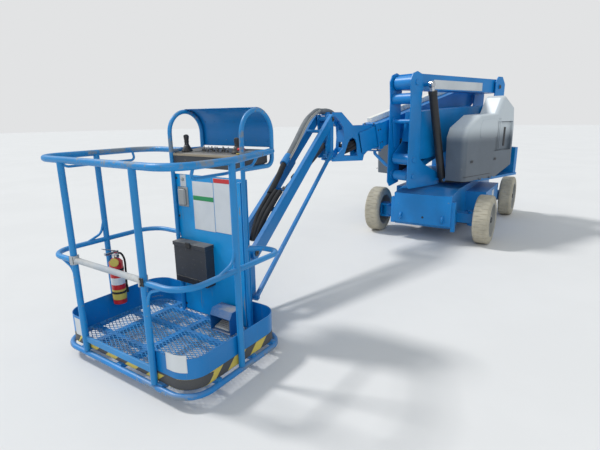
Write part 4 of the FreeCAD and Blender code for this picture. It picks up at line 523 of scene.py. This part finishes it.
def build_toe_marks():
    black, yellow = Form(CAGE), Form(CAGE)
    low, pitch, wide, slant = 99.5, 188.0, 98.0, 62.0
    gate = 316.0
    for start, end, high in ((-1335, -gate, 160.0), (-gate, gate, 148.0), (gate, 1335, 160.0)):
        toe_band(black, start, end, low, high)
    for k in range(-7, 7):
        start = k * pitch + 30
        high = 147.6 if abs(start + wide / 2) < gate else 159.6
        toe_band(yellow, start, start + wide, low + 0.4, high, slant, 0.6)
    black.done("toe_stripes_dark", "platform", STRIPE_BLACK)
    yellow.done("toe_stripes_bright", "platform", YELLOW)
    plates = Form(CAGE)
    toe_band(plates, 404, 534, 198, 298, 0, 0.8)
    toe_band(plates, -456, -334, 150, 262, 0, 0.8)
    plates.done("toe_placards", "platform", LABEL)


def build_panel_marks():
    face = -314.3
    sheets, green, red = Form(CAGE), Form(CAGE), Form(CAGE)

    def sheet_at(form, y0, y1, z0, z1, lift=0.7):
        form.block((face - 0.4, y0, z0), (face + lift, y1, z1), 0.4)
    sheet_at(sheets, -75, 115, 726, 1050)
    sheet_at(sheets, 119, 274, 730, 1082, 0.9)
    sheet_at(sheets, -188, -132, 1006, 1088)
    sheet_at(green, -73, 113, 925, 955, 1.1)
    sheet_at(red, 121, 272, 1052, 1080, 1.3)
    sheets.done("panel_sheets", "platform", LABEL)
    green.done("panel_header_green", "platform", GREEN_LABEL)
    red.done("panel_header_red", "platform", RED_LABEL)

    latch = Form(CAGE)
    latch.block((face - 0.5, -213, 872), (face + 7, -117, 1004), 5)
    latch.block((face + 5, -201, 884), (face + 24, -131, 992), 12)
    latch.turned((face + 2, -160, 1056), (1, 0, 0), [(11, 0), (11, 6), (8, 9)])
    latch.done("panel_latch", "platform", PLATE_GREY, "hood_grey")

    bolts = Form(CAGE)
    for z in (150, 330, 560, 800, 1060):
        for y in (-236, 372):
            bolts.bolt((face, y + (14 if y < 0 else -14), z), (1, 0, 0), 6)
    bolts.done("panel_bolts", "platform", MATERIALS["dark_steel"], "dark_steel")

    box = Form(CAGE)
    front = -238.0
    box.block((front - 0.5, -214, 357), (front + 1.6, 82, 398), 0.8)
    box.block((front + 4, -90, 610), (front + 14, -44, 650), 3)
    for y in (-190, 58):
        box.turned((front - 4, y, 628), (0, 1, 0), [(6, -16), (6, 16)], 14)
    box.done("manual_box_trim", "platform", MATERIALS["black_paint"], "black_paint")


def build_console():
    face, back, rise_from, rise_to = -320.0, -553.0, 1231.0, 1250.0

    def top(x):
        return rise_from + (face - x) / (face - back) * (rise_to - rise_from)
    board, levers, dark = Form(CAGE), Form(CAGE), Form(CAGE)
    board.within(Matrix.Translation((-425, 84, top(-425))) @ Matrix.Rotation(math.atan2(19, 233), 4, "Y")).block(
        (-58, -170, -1), (58, 190, 2.2), 2)
    board.done("console_board", "platform", MATERIALS["black_paint"], "black_paint")
    for i in range(9):
        y = -52 + i * 29
        x = -398 if i % 3 else -410
        dark.turned((x, y, top(x)), (0, 0, 1), [(8, 0), (8, 5), (6, 6)], 6)
        dark.turned((x, y, top(x)), (0, 0, 1), [(5, 5), (5.5, 12), (3, 16)], 14)
        lean = 0.3 if i % 2 else -0.25
        levers.turned((x, y, top(x) + 10), (lean, 0.1, 1), [(2.2, 0), (2.4, 12), (3.8, 18), (3.4, 24), (1.2, 26)], 12)
    for x, y in ((-372, -162), (-392, 265)):
        dark.turned((x, y, top(x)), (0, 0, 1), [(38, 0), (38, 4), (34, 6), (35, 10), (30, 13), (31, 18), (26, 21),
                                              (27, 26), (21, 30), (22, 34), (16, 40), (14, 52)], 28)
    for x, y, size in ((-372, -162, 1.0), (-392, 265, 0.9)):
        tip = 1225 + (105 if size == 1.0 else 90)
        dark.turned((x, y, tip - 42), (0, 0, 1), [(13.5, 0), (15.5, 8), (14.5, 20), (17, 34), (18, 44), (14, 54), (5, 58)], 24)
        dark.turned((x + 12, y, tip + 4), (1, 0, 0.4), [(5, 0), (5, 8), (3, 10)], 12)
    for x, y, radius in ((-455, -20, 9), (-455, 34, 9), (-452, 96, 12)):
        dark.turned((x, y, top(x)), (0, 0, 1), [(radius, 0), (radius, 7), (radius - 2, 9)], 20)
    dark.done("console_controls", "platform", MATERIALS["black_paint"], "black_paint")
    levers.done("console_levers", "platform", MATERIALS["chrome_rod"], "chrome_rod")
    stop = Form(CAGE)
    stop.turned((-362, 325, 1250), (0, 0, 1), [(13, 0), (13, 6), (23, 9), (25, 14), (22, 20), (12, 23), (3, 24)], 28)
    stop.done("stop_button", "platform", MATERIALS["red_paint"], "red_paint")
    ring = Form(CAGE)
    ring.turned((-362, 325, 1236), (0, 0, 1), [(31, 0), (31, 3), (24, 3.6)], 28)
    ring.done("stop_button_collar", "platform", YELLOW)
    lip = Form(CAGE)
    lip.block((-303.5, -222, 1212), (-299.6, 370, 1226), 1.5)
    lip.done("console_lip", "platform", CREAM_DUST)


def build_pedal():
    """The treadle inside the foot switch's hood."""
    pedal = Form(CAGE)
    place = Matrix.Translation((-238, 241, 140)) @ Matrix.Rotation(math.radians(14), 4, "Y")
    pedal.within(place).block((-44, -62, -5), (52, 62, 5), 4)
    for i in range(6):
        pedal.within(place).block((-36 + i * 15, -56, 4), (-29 + i * 15, 56, 8), 2)
    pedal.done("pedal_tread", "platform", PLATE_GREY, "dark_plastic")


def build_guard_marks():
    rivets = Form(CAGE)
    middle_x, spring, inside = -441.5, 1350.5, 155.6
    for turn in (-18, 28, 62):
        angle = math.radians(turn)
        for i in range(7):
            y = -190 + i * 88
            if turn < 0:
                place, normal = (middle_x - inside, y, 1302), (1, 0, 0)
            else:
                place = (middle_x - inside * math.cos(angle), y, spring + inside * math.sin(angle))
                normal = (math.cos(angle), 0, -math.sin(angle))
            rivets.rivet(place, normal, 4.2)
    rivets.done("guard_rivets", "platform", RAIL_PAINT, "blue_paint")


def build_extinguisher():
    x, y, radius = 15.0, -520.7, 45.0
    white, yellow, steel, dark = Form(CAGE), Form(CAGE), Form(CAGE), Form(CAGE)

    def wrap(form, low, high, start, end, lift):
        count = max(6, int(abs(end - start) / 9))
        rings = []
        for i in range(count + 1):
            turn = math.radians(start + (end - start) * i / count)
            c, s = math.cos(turn), math.sin(turn)
            inner, outer = radius - 0.5, radius + lift
            rings.append([(x + inner * c, y + inner * s, low), (x + outer * c, y + outer * s, low),
                          (x + outer * c, y + outer * s, high), (x + inner * c, y + inner * s, high)])
        form.skin(rings)
    wrap(white, 352, 402, -80, 200, 0.6)
    wrap(yellow, 244, 316, -30, 150, 0.7)
    white.done("bottle_band", "platform", LABEL)
    tag = Matrix.Translation((x + 40, y + 44, 520)) @ Matrix.Rotation(math.radians(50), 4, "Z")
    yellow.within(tag).turned((0, 0, 0), (1, 0, 0), [(30, -1.2), (30, 1.2)], 10)
    yellow.done("bottle_tag", "platform", YELLOW)
    steel.turned((x, y, 534), (0, 0, 1), [(18, 0), (20, 6), (20, 22), (14, 30)], 20)
    steel.block((x - 26, y - 9.5, 568), (x + 75, y + 9.5, 584), 3)
    steel.turned((x, y, 560), (0, 0, 1), [(17.5, 0), (17.5, 12)], 20)
    steel.within(Matrix.Translation((x + 8, y, 590)) @ Matrix.Rotation(math.radians(-20), 4, "Y")).block(
        (-16, -8, -3), (84, 8, 3), 3)
    steel.turned((x, y + 17, 552), (0, 1, 0.1), [(13, 0), (13, 14), (10, 16)], 18)
    steel.done("bottle_head", "platform", MATERIALS["chrome_rod"], "chrome_rod")
    hose = smooth_path([(x - 10, y - 16, 552), (x - 44, y - 6, 556), (x - 62, y + 6, 510), (x - 60, y + 10, 430),
                        (x - 56, y + 10, 360), (x - 54, y + 12, 318)])
    dark.tube(hose, 7)
    dark.turned(hose[-1], (0.1, 0, -1), [(9, -4), (10, 10), (14, 44), (12, 46)], 16)
    for z in (286, 448):
        wrap(dark, z, z + 16, -95, 265, 1.6)
    dark.done("bottle_hose", "platform", CABLE_BLACK, "dark_plastic")


def build_cage_bolts():
    bolts, clamps = Form(CAGE), Form(CAGE)
    for z in (260, 400, 470):
        for y in (-70, 124):
            bolts.bolt((-405.2, y, z), (-1, 0, 0), 9)
    for y in (-316, 316):
        for z in (652, 684):
            clamps.turned((412, y, z), (1, 0, 0), [(5, 0), (5, 6), (3.5, 7.5)], 12)
        clamps.block((410, y - 21, 646), (415, y + 21, 690), 2)
    for z in (139, 457):
        bolts.bolt((-538, 27, z + (29 if z > 200 else -29)), (0, 0, 1 if z > 200 else -1), 20)
    bolts.done("cage_bolts", "platform", MATERIALS["dark_steel"], "dark_steel")
    clamps.done("bar_clamps", "entry_bar", MATERIALS["black_paint"], "black_paint")


# Wheels: treaded tyres and wheel nuts
def build_tread(corner):
    """A solid tyre whose shoulders carry short cross grooves, set off from one side to the other."""
    node_name = "tyre_%s" % corner
    low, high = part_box(node_name)
    body = "wheel_%s" % corner
    centre = (low + high) / 2
    axis = Vector(JOINTS["wheel_spin_" + corner]["axis"])
    frame_matrix = frame_from(centre, axis.cross(Vector((0, 0, 1))), axis)
    outer, inner, half = 279.3, 195.0, 88.8
    section = [(inner, -half + 4), (inner + 10, -half + 1), (outer - 52, -half), (outer - 34, -half + 1.5),
               (outer - 13, -half + 9), (outer - 3, -half + 21), (outer, -half + 34), (outer, -26), (outer, -9),
               (outer, 9), (outer, 26), (outer, half - 34), (outer - 3, half - 21), (outer - 13, half - 9),
               (outer - 34, half - 1.5), (outer - 52, half), (inner + 10, half - 1), (inner, half - 4)]
    lugs, depth = 30, 4.5
    pitch = 2 * math.pi / lugs
    form = Form(frame_matrix)
    rings = []
    for k in range(lugs):
        for share, cut_left, cut_right in ((0.0, 0, 0), (0.30, 0, 0), (0.345, 1, 0), (0.44, 1, 0), (0.485, 0, 0),
                                           (0.80, 0, 0), (0.845, 0, 1), (0.94, 0, 1)):
            turn = (k + share) * pitch
            ring = []
            for radius, across in section:
                cutting = cut_left if across < -8 else cut_right if across > 8 else 0
                if cutting and radius > outer - 45:
                    radius -= depth if radius > outer - 30 else 2
                ring.append((radius * math.cos(turn), across, radius * math.sin(turn)))
            rings.append(ring)
    form.skin(rings, closed=True)
    return form.done("tread_%s" % corner, body, MATERIALS["tyre_rubber"], "tyre_rubber", (node_name,))


def build_wheel_nuts(corner, sign):
    low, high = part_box("rim_%s" % corner)
    centre = (low + high) / 2
    form = Form(frame_from(centre, Vector((1, 0, 0)), Vector((0, 1, 0))))
    for k in range(8):
        turn = 2 * math.pi * k / 8
        form.bolt((96 * math.cos(turn), sign * 44, 96 * math.sin(turn)), (0, sign, 0), 11)
    form.turned((0, sign * 66, 0), (0, sign, 0), [(34, -10), (34, 6), (28, 14), (8, 17)], 28)
    form.done("wheel_nuts_%s" % corner, "wheel_%s" % corner, MATERIALS["dark_steel"], "dark_steel")


# Jib: protective sleeves, clamps, cables and pin plates
JIB_SLOPE = math.radians(29.6)
JIB_PIN = (120.0, 1420.0)
SLEEVE = 29.0


def on_jib(along, above, y=0.0):
    return (JIB_PIN[0] + along * math.cos(JIB_SLOPE) + above * math.sin(JIB_SLOPE), y,
            JIB_PIN[1] - along * math.sin(JIB_SLOPE) + above * math.cos(JIB_SLOPE))


def build_sleeves():
    """Sleeved hoses from the nose over the beams to a clamp, then down between the beams."""
    over = -58
    start = [(-256, 0, 1360), (-240, -2, 1420), (-200, -6, 1464), (-130, -14, 1490), (-40, -28, 1502), (60, -42, 1500)]
    loop_path = [start[-1], on_jib(14, 100, -50), on_jib(121, 122, -60), on_jib(254, 140, -62),
                 on_jib(376, 142, over), on_jib(500, 126, over), on_jib(620, 110, over), on_jib(740, 98, over),
                 on_jib(860, 92, over)]
    nose = Form(JIB)
    nose.tube(smooth_path(start), SLEEVE, 20)
    nose.turned(start[0], (0, 0, -1), [(SLEEVE - 3, -2), (SLEEVE - 3, 20), (SLEEVE - 8, 24)], 20)
    nose.done("sleeve_nose", ("boom_extension", "jib_rotator", JIB @ (Vector(start[1]) * MM),
                              JIB @ (Vector(start[-1]) * MM)), CABLE_GREY, "dark_plastic")
    bend = ("jib_rotator", "jib", JIB @ (Vector(loop_path[0]) * MM), JIB @ (Vector(loop_path[3]) * MM))
    loop = Form(JIB)
    loop.tube(smooth_path(loop_path), SLEEVE, 20)
    loop.done("sleeve_loop", bend, CABLE_GREY, "dark_plastic")

    black = Form(JIB)
    black.tube(smooth_path([on_jib(840, 93, over), on_jib(960, 88, -54), on_jib(1080, 79, -44),
                            on_jib(1200, 73, -38), on_jib(1320, 66, -34)]), 25, 18)
    for y, turn in ((-38, 0), (2, 3), (40, -2)):
        black.tube(smooth_path([on_jib(1270, 56 + turn, y), on_jib(1360, 60 + turn, y), on_jib(1450, 58 + turn, y),
                                on_jib(1560, 52 + turn, y * 0.9), on_jib(1690, 14 + turn, y * 0.6),
                                on_jib(1780, -34, y * 0.5)]), 21, 16)
    black.done("sleeve_lower", "jib", CABLE_BLACK, "dark_plastic")
    clamp = Form(JIB)
    way = Vector((math.cos(JIB_SLOPE), 0, -math.sin(JIB_SLOPE)))
    clamp.turned(on_jib(870, 92, over), way,
                 [(SLEEVE, -62), (SLEEVE + 6, -62), (SLEEVE + 6, 62), (SLEEVE, 62)], 28)
    seat = clamp.within(Matrix.Translation(Vector(on_jib(870, 50.5, -85))) @ Matrix.Rotation(JIB_SLOPE, 4, "Y"))
    seat.block((-58, -18, 0), (58, 22, 5), 1.5)
    seat.block((-40, 8, 2), (40, 20, 18), 2)
    clamp.done("sleeve_clamp", "jib", MATERIALS["blue_paint"], "blue_paint")
    cables = Form(JIB)
    for dy, lift, radius in ((35, -4, 5.5), (32, 14, 4.5), (42, 8, 4.5)):
        route = [(x, y + dy, z + lift) for x, y, z in loop_path[1:]]
        cables.tube(smooth_path(route), radius, 10)
    cables.done("sleeve_cables", bend, PLATE_GREY, "dark_plastic")


def build_nose_shade_hoses():
    """Black hoses inside the nose, seen through its window: partly real hoses, partly painted shade that makes the
    window look like a dark recess.
    """
    shade_bundle = Form(TURNTABLE)
    for i, (y, z, radius) in enumerate(((-212, 1096, 20), (-172, 1108, 22), (-150, 1076, 18), (-196, 1060, 18),
                                        (-180, 1140, 16), (-210, 1134, 14))):
        shade_bundle.tube(smooth_path([(1600 + i * 6, y, z + 40), (1690, y, z + 22), (1770, y + 2, z - 4),
                                 (1840, y, z - 18), (1866, y, z - 2)]), radius, 14)
    shade_bundle.done("nose_shade_hoses", "boom_extension", CABLE_BLACK, "dark_plastic")


def build_pin_plates():
    """Keeper plates with bolts where pins show on the near and far faces."""
    groups = {}
    jib_half = 85 + 18 + 4
    for body, frame_matrix, places in (
            ("jib_rotator", JIB, [(120, s * jib_half, 1420, s) for s in (-1, 1)]),
            ("platform_mount", JIB, [(*on_jib(1925, 0, s * jib_half), s) for s in (-1, 1)]),
            ("riser_head", TURNTABLE, [(-620, 120 + 144 + 7 + 10, 1800, 1), (-650, -311, 1800, -1)]),
            ("turntable", TURNTABLE, [(-350, 120 + s * 162, z, s) for s in (-1, 1) for z in (1470, 1280)])):
        form = Form(frame_matrix)
        for x, y, z, s in places:
            form.turned((x, y, z), (0, s, 0), [(26, -2), (26, 3), (22, 5)], 24)
            form.bolt((x, y + s * 4, z), (0, s, 0), 10)
        form.done("pin_caps_" + body, body, MATERIALS["dark_steel"], "dark_steel")


def build_boom_marks():
    track = Form(BOOM)
    for i in range(17):
        x = 340 + i * 100
        track.block((x, -98, 66.5), (x + 98, -24, 128), 5)
        track.block((x + 4, -101, 84), (x + 20, -97, 108), 1.5)
    track.done("hose_track", "boom", CREAM, "dark_plastic")
    pads = Form(BOOM)
    for y in (-70, 70):
        for z in (88, -236):
            pads.bolt((2111, y, z - (9 if z > 0 else -9)), (1, 0, 0), 8)
    for side in (-1, 1):
        for z in (0, -150):
            for x in (2062, 2098):
                pads.bolt((x, side * 112, z), (0, side, 0), 7)
    pads.done("collar_bolts", "boom", MATERIALS["dark_steel"], "dark_steel")


def build_riser_marks():
    plate = Form(TURNTABLE)
    near = 120 + 118
    low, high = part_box("upper_arm")
    plate.block((-250, near - 0.5, 1738), (800, near + 1.0, 1840), 1)
    plate.done("arm_plate_blank", "upper_arm", LABEL)
    caps = Form(TURNTABLE)
    caps.turned((976, 335 + 21, 1778), (0, 1, 0), [(26, -2), (26, 6), (21, 10), (8, 11)], 26)
    caps.turned((976, 335 - 21, 1778), (0, -1, 0), [(26, -2), (26, 6), (21, 10)], 26)
    caps.done("cylinder_pin_cap", "upper_arm", MATERIALS["chrome_rod"], "chrome_rod")
    lower = Form(TURNTABLE)
    lower.turned((667, 335 + 21, 686), (0, 1, 0), [(24, -2), (24, 6), (19, 9)], 24)
    lower.done("cylinder_foot_cap", "mid_pivot", MATERIALS["chrome_rod"], "chrome_rod")
    bolts = Form(TURNTABLE)
    for x, z in ((1099, 748), (1060, 1180), (1060, 1560), (1180, 700)):
        bolts.bolt((x, 120 + 130, z), (0, 1, 0), 9)
    bolts.done("lever_bolts", "mid_pivot", MATERIALS["dark_steel"], "dark_steel")


def build_riser_tubes():
    """The stout tubes round the pins and bars between the riser's front plates."""
    middle_y = 120
    for name, body, x, z, radius, half in (("high", "mid_pivot", 1170, 1630, 60, 136),
                                           ("arm", "lower_arm", 1150, 950, 63, 114),
                                           ("link", "lower_link", 1150, 760, 58, 96)):
        form = Form(TURNTABLE)
        form.turned((x, middle_y - half, z), (0, 1, 0), [(radius - 3, 0), (radius, 3), (radius, 2 * half - 3),
                                                         (radius - 3, 2 * half)], 32)
        form.done("riser_tube_" + name, body, MATERIALS["blue_paint"], "blue_paint")


def build_hood_marks():
    """Raised shoulder, rib, dark handle and lower panel of each moulded cover."""
    for side, sign in (("left", 1), ("right", -1)):
        face = sign * 660

        def span(form, x0, x1, z0, z1, low, high, edge):
            y0, y1 = sorted((face + sign * low, face + sign * high))
            form.block((x0, y0, z0), (x1, y1, z1), edge)
        light, dark, latch = Form(TURNTABLE), Form(TURNTABLE), Form(TURNTABLE)
        shoulder = [(430, 1175), (450, 1200), (450, 1330), (400, 1386), (90, 1398), (66, 1380), (66, 1200), (86, 1175)]
        rings = []
        for lift, shrink in ((-3, 0), (3, 0), (7, 10), (7.5, 22)):
            centre = Vector((258, 1286))
            rings.append([(centre.x + (x - centre.x) * (1 - shrink / 190), face + sign * lift,
                           centre.y + (z - centre.y) * (1 - shrink / 110)) for x, z in shoulder])
        light.skin(rings)
        for x in (-4, 28):
            span(light, x, x + 16, 1030, 1400, -3, 6, 6)
        span(dark, 150, 735, 742, 748, -2, 1.2, 0.5)
        span(dark, -190, -150, 1060, 1290, -34, -26, 6)
        span(latch, 560, 610, 900, 930, -2, 7, 5)
        span(latch, 40, 90, 900, 930, -2, 7, 5)
        light.done("hood_relief_" + side, "hood_" + side, MATERIALS["hood_grey"], "hood_grey")
        dark.done("hood_seam_" + side, "hood_" + side, MATERIALS["black_paint"], "black_paint")
        latch.done("hood_latch_" + side, "hood_" + side, MATERIALS["dark_plastic"], "dark_plastic")


def build_chassis_marks():
    front = 1160.0
    dark, bolts, pale = Form(CHASSIS), Form(CHASSIS), Form(CHASSIS)
    # painted shade: a thin black disc on the front face stands in for the dark inside of the tow hole
    dark.turned((front - 0.5, 14, 287), (1, 0, 0), [(13, -2), (13, 0.8)], 20)
    for y in (-255, 255):
        for z in (230, 400, 520):
            bolts.bolt((-front, y, z), (-1, 0, 0), 8)
    for sign in (-1, 1):
        y = sign * 570
        y0, y1 = sorted((y - sign * 0.5, y + sign * 1.0))
        pale.block((-120, y0, 330), (20, y1, 480), 0.6)
        for x in (-400, 400):
            for z in (300, 480):
                bolts.bolt((x, y, z), (0, sign, 0), 8)
    dark.done("tow_hole_shade_disc", "chassis", MATERIALS["black_paint"], "black_paint")
    bolts.done("chassis_bolts", "chassis", MATERIALS["dark_steel"], "dark_steel")
    pale.done("chassis_plates", "chassis", LABEL)


def build_details():
    build_floor_lattice()
    build_toe_marks()
    build_panel_marks()
    build_console()
    build_pedal()
    build_guard_marks()
    build_extinguisher()
    build_cage_bolts()
    for end in ("front", "rear"):
        for side, sign in (("left", 1), ("right", -1)):
            build_tread(end + "_" + side)
            build_wheel_nuts(end + "_" + side, sign)
    build_sleeves()
    build_nose_shade_hoses()
    build_pin_plates()
    build_boom_marks()
    build_riser_marks()
    build_riser_tubes()
    build_hood_marks()
    build_chassis_marks()


# Studio
def build_studio():
    floor_mesh = bmesh.new()
    bmesh.ops.create_circle(floor_mesh, cap_ends=True, segments=96, radius=60.0)
    mesh = bpy.data.meshes.new("floor")
    floor_mesh.to_mesh(mesh)
    floor_mesh.free()
    floor = bpy.data.objects.new("floor", mesh)
    scene.collection.objects.link(floor)
    tree = Tree("pale_floor")
    tree.put(tree.shader.inputs["Base Color"], tree.mix(tree.band(tree.noise(0.8, 4.0), 0.4, 0.6),
                                                         rgb(216, 215, 213), rgb(218, 217, 215)))
    tree.shader.inputs["Roughness"].default_value = 0.9
    mesh.materials.append(tree.material)

    world = bpy.data.worlds.new("studio")
    scene.world = world
    world.use_nodes = True
    nodes, links = world.node_tree.nodes, world.node_tree.links
    nodes.clear()
    paths = nodes.new("ShaderNodeLightPath")
    lit = nodes.new("ShaderNodeBackground")
    lit.inputs[0].default_value = (0.86, 0.93, 1.0, 1.0)
    lit.inputs[1].default_value = 0.62
    seen = nodes.new("ShaderNodeBackground")
    seen.inputs[0].default_value = rgb(226, 227, 228)
    seen.inputs[1].default_value = 1.0
    either = nodes.new("ShaderNodeMath")
    either.operation = "MAXIMUM"
    links.new(paths.outputs["Is Camera Ray"], either.inputs[0])
    links.new(paths.outputs["Is Transmission Ray"], either.inputs[1])
    blend = nodes.new("ShaderNodeMixShader")
    links.new(either.outputs[0], blend.inputs[0])
    links.new(lit.outputs[0], blend.inputs[1])
    links.new(seen.outputs[0], blend.inputs[2])
    out = nodes.new("ShaderNodeOutputWorld")
    links.new(blend.outputs[0], out.inputs[0])

    for name, heading, height, strength, spread in (("key", 14.0, 50.0, 2.2, 8.0), ("fill", 118.0, 28.0, 0.55, 40.0)):
        lamp = bpy.data.lights.new(name, "SUN")
        lamp.energy = strength
        lamp.angle = math.radians(spread)
        lamp_object = bpy.data.objects.new(name, lamp)
        scene.collection.objects.link(lamp_object)
        lamp_object.rotation_euler = (math.radians(90 - height), 0.0, math.radians(heading))


def build_camera():
    heading = CAMERA_HEADING.normalized()
    right = heading.cross(Vector((0, 0, 1)))
    pitch, roll = math.radians(CAMERA_PITCH), math.radians(CAMERA_ROLL)
    forward = heading * math.cos(pitch) - Vector((0, 0, 1)) * math.sin(pitch)
    up = right.cross(forward)
    x_way = right * math.cos(roll) + up * math.sin(roll)
    y_way = up * math.cos(roll) - right * math.sin(roll)
    camera = bpy.data.cameras.new("camera")
    camera.lens = CAMERA_LENS
    camera.sensor_width = SENSOR_WIDTH
    camera.sensor_fit = "HORIZONTAL"
    camera_object = bpy.data.objects.new("camera", camera)
    scene.collection.objects.link(camera_object)
    turn = Matrix((x_way, y_way, -forward)).transposed().to_4x4()
    camera_object.matrix_world = Matrix.Translation(CAMERA_PLACE) @ turn
    scene.camera = camera_object


build_studio()
build_camera()
build_details()
scene.view_settings.view_transform = "Standard"
